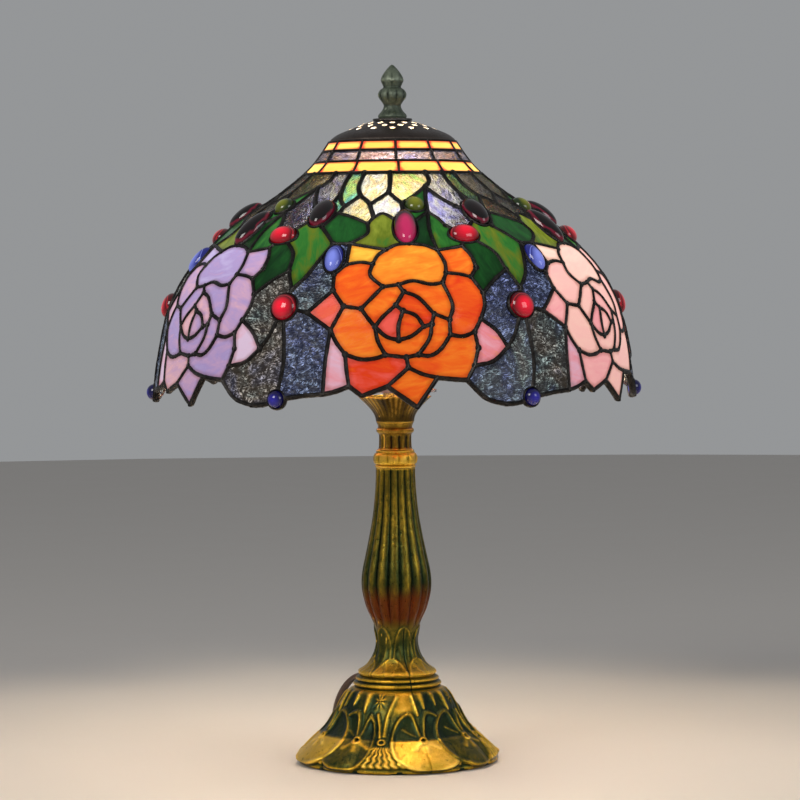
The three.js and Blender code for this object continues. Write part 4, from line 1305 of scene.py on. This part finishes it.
def foot_relief(azimuth, height, run, radius):
    """Pairs of overlapping lily pads with what grows between them, a wavy edge, a seam and gilt rings."""
    azimuth = azimuth + 0 * run
    run = run + 0 * azimuth
    quarter = np.round((azimuth - GAP_AZIMUTH) / QUARTER)
    gap = azimuth - GAP_AZIMUTH - quarter * QUARTER
    out, gilt = gap_relief(gap, run)
    for on_top in (False, True):
        for shift in (-QUARTER, 0, QUARTER):
            for middle, left, right, gold in PADS:
                relief, shine, cover = lily_pad(gap - middle - shift, run - PAD_MIDDLE, left, right, gold)
                cover = cover * (((quarter % 2 == 1) == (shift == 0)) == on_top)
                out, gilt = laid_on(out, relief, cover), laid_on(gilt, shine, cover)
    seam = casting_seam(azimuth, radius, 0.45) * (rise(run, 22, -2) + rise(height, 45, 2))
    valley = np.min([np.abs(around(gap, middle, QUARTER)) / 7 for middle in VALLEYS], axis=0)
    edge = rise(height, 20, -12) * np.clip(radius / 50, 0, 1)
    out = out * rise(run, 1.5, 1.5) - 1.9 * edge * (1 - np.clip(valley, 0, 1)) ** 1.5
    gilt = laid_on(gilt, 0.06, rise(run, 4.2, -1.5))
    foot = rise(height, 46.3, -1.5)
    rings = 0.22 * (hump(height, 49, 1.0) + hump(height, 52.3, 0.8) + hump(height, 46.4, 0.7)) - 0.08
    return out * foot - 0.5 * seam, 0.0, laid_on(rings, gilt, foot) - 0.2 * seam


def make_foot():
    outer = np.concatenate([smooth_line(FOOT_OUTER, 0.6), smooth_line(FOOT_RINGS, 0.4)])
    turned_piece(
        "foot_lily_pads", "stand", "antique_gold", "gilt_foot", "foot_casting",
        outer, FOOT_INNER, foot_relief, 440,
    )


REEDS = 16
COLUMN_OUTLINE = [
    (23.4, 54.3), (23.6, 55.4), (23.2, 57.2), (21, 58.6), (18.6, 60.4), (15.8, 64), (13.2, 70), (12.4, 76),
    (13.2, 82), (15.6, 88.5), (18.8, 95.5), (21.2, 104.5), (21.9, 111.5), (21.2, 119.5), (19.2, 129),
    (16.6, 141.5), (14.4, 154), (13, 167), (12.4, 177), (12.3, 183.3),
]
# Each row of leaves round the waist: lowest and highest, turn in degrees, bluntness and gilding
LEAF_ROWS = [(57, 85, 0, 4.0, -0.06), (53, 65.5, 30, 3.0, 0.12)]


def column_relief(azimuth, height, run, radius):
    """Reeds up the belly, broad leaves round the waist over a row of small ones, and a casting seam."""
    reeded = rise(height, 84, 7) * rise(height, 183.4, -1.5)
    depth = 1.3 + 1.1 * hump(height, 112, 26)
    out = -depth * reeded * (1 - petals(azimuth, REEDS, 0.6, 4))
    gilt = 0.2 * out
    for base, tip, phase, blunt, gold in LEAF_ROWS:
        turn = np.abs(around(azimuth, SEAM_AZIMUTH + phase, 60))
        share = rise(height, base, tip - base)
        inward = (30 * np.sqrt(1 - share**blunt) - turn) * np.radians(1) * radius
        within = rise(inward, 0, 0.8) * (share < 1)
        rim = hump(inward, 1.1, 0.9)
        fold = hump(turn * np.radians(1) * radius, 1.2 + 3 * share, 1.3)
        out = laid_on(out, 0.4 + 0.4 * rim + 0.4 * fold, within)
        gilt = laid_on(gilt, gold + 0.07 * rim + 0.04 * fold, within)
    out = out + 0.5 * hump(height, 56.2, 0.9)
    seam = casting_seam(azimuth, radius, 0.4) * rise(height, 86, -3)
    return (out - 0.5 * seam) * rise(height, 54.3, 1.2), 0.0, gilt - 0.15 * seam


def make_column():
    turned_piece(
        "column_reeded", "stand", "green_patina", "column", "column_casting",
        smooth_line(COLUMN_OUTLINE, 0.8), [(BORE, 183.3), (BORE, 54.3)], column_relief, 320,
    )


def make_collar():
    outline = [
        (12.3, 183.6), (12.9, 184.5), (12.2, 185.2), (13.3, 186.6), (13.7, 189), (13.2, 191.6), (11.9, 193),
        (11.9, 194.1), (10.9, 194.8),
    ]

    def relief(azimuth, height, run, radius):
        return 0.8 * (petals(azimuth, 12, 0.5, 6) - 0.8) * hump(height, 189.2, 2.8), 0.0

    turned_piece(
        "collar_beaded", "stand", "antique_gold", "gilt_bright", "collar_casting",
        smooth_line(outline, 0.3), [(BORE, 194.8), (BORE, 183.6)], relief, 180,
    )


def make_neck():
    outline = [
        (10.6, 195.1), (10.2, 197), (10.1, 203.6), (10.7, 205), (11.6, 206), (11.6, 207.4), (10.7, 208.3),
        (10.7, 209.6), (11.7, 212),
    ]

    def relief(azimuth, height, run, radius):
        reeds = -1.0 * (1 - petals(azimuth, 12, 0.7)) * rise(height, 204.4, -1.5)
        return reeds * rise(height, 195, 1.5), 0.0

    turned_piece(
        "neck_reeded", "stand", "green_patina", "neck", "neck_casting",
        smooth_line(outline, 0.3), [(BORE, 212), (BORE, 195.1)], relief, 180,
    )


def make_cup():
    """The tulip cup: eight petals that open under the lampholder, their tips turned out."""
    outline = [(11.9, 212.3), (12.4, 215.4), (14, 218.6), (16.6, 221.8), (19.6, 224.8), (22.4, 227.4)]
    inner = [
        (21.6, 228), (18.8, 225.4), (15.6, 222.2), (12.6, 217.8), (9, 215.6), (BORE, 215.6), (BORE, 212.3),
    ]

    def relief(azimuth, height, run, radius):
        opening = rise(height, 213, 16)
        tips = petals(azimuth, 8, 0.6) - 0.75
        veins = 0.25 * np.sin(np.radians(azimuth * 40)) * opening * petals(azimuth, 8, 0.5)
        return opening * 1.6 * tips + veins, opening**2 * 2.2 * tips

    turned_piece(
        "tulip_cup_petals", "stand", "antique_gold", "gilt_cup", "tulip_cup",
        smooth_line(outline, 0.4), smooth_line(inner, 1.2), relief, 240,
    )


# ------------------------------------------------------------------ lampholder, bulb and harp
THREAD_PITCH = 3.6
BULB_OUTER = [
    (12.6, 284.3), (14.6, 293.5), (22, 309.5), (27.6, 320.5), (30, 331.5), (28.6, 342.5), (22, 354.5),
    (10, 362.1), (TIP, 363.5),
]
BULB_INNER = [
    (TIP, 362.5), (9.5, 361.1), (21.2, 353.7), (27.6, 342.1), (29, 331.5), (26.7, 320.9), (21.1, 310.1),
    (13.6, 293.8), (11.6, 284.3),
]


def make_lampholder_cap():
    outer = smooth_line([(8.5, 232.4), (12, 233.2), (15.4, 236.4), (16.9, 240.4), (17, 244)], 0.5)
    inner = [(15.9, 244), (15, 238.6), (11.4, 234.6), (BORE, 234.6), (BORE, 232.4)]
    turned_piece("lampholder_cap_spun", "stand", "brass", "brass", "lampholder_cap", outer, inner)


def make_bulb_cap():
    def threads(azimuth, height, run, radius):
        wave = np.sin((height / THREAD_PITCH - azimuth / 360) * math.tau)
        return 0.55 * wave * rise(height, 280, -3), 0.0

    contact = [(TIP, 261.3), (4.6, 261.3), (5, 262.8)]
    skirt = smooth_line([(10.3, 266.6), (12.6, 268.1)], 0.4)
    barrel = straight_line([(12.7, 268.2), (12.7, 281.6), (13.1, 284)], 0.35)
    outer = np.concatenate([contact, skirt, barrel])
    turned_piece(
        "bulb_cap_threaded", "bulb", "steel", "steel", "bulb_cap", outer, [(TIP, 284)], threads, 72
    )


def make_bulb():
    bulb = turned_piece(
        "bulb_globe", "bulb", "lamp_glass", "bulb", "bulb_glass",
        smooth_line(BULB_OUTER, 1.4), smooth_line(BULB_INNER, 2.5), sides=64,
    )
    bulb.visible_shadow = False  # so that the light inside it isn't shut in


HARP_FOOT, HARP_TOP, HARP_WIRE = 22, 391.6, 1.6
HARP_HALF = [
    (HARP_FOOT, 0, 241.3), (HARP_FOOT, 0, 250), (HARP_FOOT, 0, 257), (HARP_FOOT, 0, 263), (24.5, 0, 272),
    (31, 0, 283), (40, 0, 296), (45.5, 0, 310), (46, 0, 328), (40.5, 0, 350), (30.5, 0, 371), (17, 0, 386),
]
FERRULE_OUTLINE = [
    (2.6, 235), (3.2, 235.6), (3.2, 238), (2.9, 238.4), (3.2, 238.8), (3.2, 246.4), (2.6, 247),
]


def make_harp():
    """The bow of wire and the two ferrules that lock its feet."""
    other_half = [(-x, y, z) for x, y, z in HARP_HALF[::-1]]
    path = smooth_line(HARP_HALF + [(0, 0, HARP_TOP)] + other_half, 2.0)
    batch = Batch()
    swept(batch, path, HARP_WIRE, HARP_WIRE, np.tile([0.0, 1.0, 0.0], (len(path), 1)))
    batch.build("harp_wire", "stand", "steel", "steel", ["harp_bow"])
    for side, word in ((-1, "left"), (1, "right")):
        sleeve = Batch()
        turned(sleeve, straight_line(FERRULE_OUTLINE, 0.4), [(1.95, 247), (1.95, 235)], sides=32)
        sleeve.move(Matrix.Translation((side * HARP_FOOT, 0, 0)))
        ferrule = f"harp_ferrule_{word}"
        sleeve.build(f"harp_sleeve_{word}", ferrule, "brass", "brass", [ferrule])


# ------------------------------------------------------------------ the cord
CORD_WIDE, CORD_THICK = 2.5, 1.65  # half sizes of the flat twin lead
CORD_EXIT = (-15.02, 56.06, 41.77)
LEAD_ROUTE = [
    CORD_EXIT, (-17.8, 66, 43.9), (-22, 75.5, 44.2), (-27.5, 84.5, 41.6), (-32.8, 92.2, 36.2),
    (-37, 98.8, 28.8), (-39.7, 105, 20.6), (-40.8, 112, 13.2), (-40.3, 120, 7.8), (-39.6, 127, 5),
    (-38.6, 134, 3.6),
]
TAIL_ROUTE = [
    (42.4, 131, 5.4), (43.1, 121.8, 4), (42, 112.5, 3), (38.2, 103.3, 2.8), (32.3, 95.6, 3.2), (25, 90, 5),
    (17.9, 87.1, 6.9),
]
COIL_MIDDLE = (2, 142)
COIL_OUTER, COIL_INNER = 40.0, 20.0
COIL_START = 180.0  # degrees
LAYER_HEIGHTS = (3.2, 6.6)
# Turns inward on the floor, and then outward on top of them
LAYERS = [(4.0, COIL_OUTER, COIL_INNER), (4.5, COIL_INNER, COIL_OUTER)]
POINTS_PER_TURN = 24


def coil_points():
    """Four turns inward on the floor, then four and a half turns outward on top of them."""
    points, turn = [], COIL_START
    low, high = LAYER_HEIGHTS
    for layer, (turns, first, last) in enumerate(LAYERS):
        count = round(turns * POINTS_PER_TURN)
        for i in range(count + layer):  # the upper layer has its end point too
            share = i / count
            lift = layer * min(1.0, i / (POINTS_PER_TURN / 3))
            radius = first + (last - first) * share
            points.append((turn - 360 * turns * share, radius, low + (high - low) * lift))
        turn -= 360 * turns
    x0, y0 = COIL_MIDDLE
    return [
        (x0 + radius * math.cos(math.radians(a)), y0 + radius * math.sin(math.radians(a)), z)
        for a, radius, z in points
    ]


def make_cord():
    """A flat twin lead from the foot into a coil behind the lamp, and back to its plug."""
    route = smooth_line(LEAD_ROUTE + coil_points() + TAIL_ROUTE, 2.4)
    lobes = []
    for side in (-1, 1):
        for a in np.radians(np.linspace(-78, 78, 7)):
            across = CORD_WIDE - CORD_THICK + CORD_THICK * math.cos(a)
            lobes.append((side * across, side * CORD_THICK * math.sin(a)))
    batch = Batch()
    swept(batch, route, 1.0, 1.0, section=lobes)
    nodes = ["cord_lead", "cord_coil", "cord_tail"]
    return batch.build("cord", "stand", "cord_plastic", "cord_brown", nodes), route


RELIEF_AZIMUTH, RELIEF_RADIUS, RELIEF_HEIGHT, RELIEF_RISE = 195, 36.5, 36, 15
RELIEF_OUTLINE = [
    (TIP, -5), (4.5, -5), (4.5, 2.6), (6.2, 3), (6.2, 5), (4.6, 6), (3.5, 21.4), (3.1, 22), (TIP, 22),
]


def make_strain_relief():
    """A ribbed, tapered bushing in the back of the foot."""

    def ribs(azimuth, height, run, radius):
        along = rise(height, 7, 1) * rise(height, 20.5, -1)
        return -0.45 * along * (np.sin(height * math.tau / 2.8) > 0.25) * (radius > 1), 0.0

    batch = Batch()
    turned(batch, straight_line(RELIEF_OUTLINE, 0.4)[:-1], [(TIP, 22)], ribs, 40)
    turn, lean = math.radians(RELIEF_AZIMUTH), math.pi / 2 - math.radians(RELIEF_RISE)
    spot = (RELIEF_RADIUS * math.sin(turn), -RELIEF_RADIUS * math.cos(turn), RELIEF_HEIGHT)
    batch.move(Matrix.Translation(spot) @ Matrix.Rotation(turn, 4, "Z") @ Matrix.Rotation(lean, 4, "X"))
    return batch.build("strain_relief_ribbed", "stand", "cord_plastic", "cord_brown", ["strain_relief"])


PLUG_MIDDLE, PLUG_HEADING, PLUG_HEIGHT = (2.4, 82.7), 195.0, 7.1
PLUG_PROFILE = [  # along it, half width and half height
    (-15, 3.4, 3.0), (-12, 4.2, 3.8), (-8, 7.4, 5.2), (-4, 9.2, 6.0), (0, 10, 6.4), (6, 11, 6.6),
    (11.4, 11.9, 6.7), (14, 11.9, 6.7), (15, 11.2, 6.2),
]


def make_plug():
    """A moulded plug: its grip narrows and softens toward the cord."""
    rows = smooth_line(PLUG_PROFILE, 1.2)
    turn = np.arange(24) * math.tau / 24
    corner = np.column_stack([np.sign(part) * np.abs(part) ** 0.55 for part in (np.cos(turn), np.sin(turn))])
    grip = 0.5 * ((np.sin(rows[:, 0] * 2.4) > 0.2) & (np.abs(rows[:, 0] + 3) < 6))
    path = np.column_stack([rows[:, 0], np.zeros(len(rows)), np.full(len(rows), PLUG_HEIGHT)])
    batch = Batch()
    swept(batch, path, rows[:, 1] - grip, rows[:, 2], section=corner)
    heading = Matrix.Rotation(math.radians(PLUG_HEADING), 4, "Z")
    batch.move(Matrix.Translation((*PLUG_MIDDLE, 0)) @ heading)
    return batch.build("plug_moulded", "stand", "black_plastic", "black_plastic", ["plug_body"])


TIE_HALF, TIE_LOW, TIE_HIGH, TIE_CORNER = 13.6, 0.75, 9.0, 2
TIE_MIDDLE = COIL_MIDDLE[1] + 30
TIE_SECTION = [
    (0.5, -2.3), (0.5, 2.3), (0.2, 2.5), (-0.2, 2.5), (-0.5, 2.3), (-0.5, -2.3), (-0.2, -2.5), (0.2, -2.5),
]


def make_tie():
    """A soft strap round the coil's turns, at the back."""
    across, low, high = TIE_HALF - TIE_CORNER, TIE_LOW + TIE_CORNER, TIE_HIGH - TIE_CORNER
    path = []
    for x, z, start in ((across, high, 0), (-across, high, 90), (-across, low, 180), (across, low, 270)):
        for a in np.radians(np.arange(start, start + 91, 18)):
            y = TIE_MIDDLE + (x + TIE_CORNER * math.cos(a))
            path.append((COIL_MIDDLE[0], y, z + TIE_CORNER * math.sin(a)))
    ups = np.tile([1.0, 0.0, 0.0], (len(path), 1))
    batch = Batch()
    swept(batch, path, 1.0, 1.0, ups, section=TIE_SECTION, closed=True)
    return batch.build("coil_tie_strap", "stand", "black_plastic", "black_plastic", ["coil_tie"])


# The CAD nodes that stay, by what they are made of
KEPT_NODES = {
    "felt": ["felt_pad"],
    "iron": ["base_weight"],
    "steel": ["threaded_rod", "rod_washer", "rod_nut", "harp_saddle"],
    "brass": [
        "spacer_tube", "lampholder_shell", "screw_shell", "centre_contact", "harp_top_stud",
        "plug_blade_left", "plug_blade_right",
    ],
    "porcelain": ["switch_block"],
    "black_plastic": ["switch_knob"],
    "solder": ["cap_washer"],
    "cord_brown": ["inner_lead"],
}


def finish_cad_nodes():
    for finish, names in KEPT_NODES.items():
        for name in names:
            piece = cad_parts[name]
            piece.data.materials.clear()
            piece.data.materials.append(MATERIALS[finish])


def make_surroundings():
    """A plain pale floor, soft studio light and the light of the bulb."""
    mesh = bpy.data.meshes.new("floor")
    turn = [k * math.tau / FLOOR_SIDES for k in range(FLOOR_SIDES)]
    ring = [(FLOOR_RADIUS * math.cos(a), FLOOR_RADIUS * math.sin(a), 0) for a in turn]
    mesh.from_pydata(ring, [], [tuple(range(FLOOR_SIDES))])
    mesh.materials.append(plain("floor", (0.5, 0.47, 0.44), (0.54, 0.51, 0.48), 0.6, 12, 0.02))
    floor = in_scene("floor", mesh)
    world = bpy.data.worlds.new("world")
    world.use_nodes = True
    background = world.node_tree.nodes["Background"]
    background.inputs["Color"].default_value = (0.4, 0.41, 0.42, 1)
    background.inputs["Strength"].default_value = 0.75
    bpy.context.scene.world = world
    bpy.context.scene.view_settings.view_transform = "Standard"
    lamp_light("key", "AREA", 22, (1, 0.97, 0.93), (-1.1, -1.5, 1.4), 0.9, LAMP_MIDDLE)
    lamp_light("fill", "AREA", 9, (0.93, 0.96, 1), (1.4, -1.1, 0.9), 0.9, LAMP_MIDDLE)
    lamp_light("bulb_light", "POINT", 7.0, (1, 0.8, 0.56), (0, 0, BULB_MIDDLE * MM), 0.026)


# ------------------------------------------------------------------ the whole lamp
make_camera()
cord, cord_route = make_cord()
relief_piece = make_strain_relief()
plug = make_plug()
tie = make_tie()
pattern = lead_segments()
make_glass(pattern)
make_bands()
make_leading(pattern)
make_jewels()
make_cap()
make_finial()
make_foot()
make_column()
make_collar()
make_neck()
make_cup()
make_lampholder_cap()
make_bulb_cap()
make_bulb()
make_harp()
finish_cad_nodes()
make_surroundings()
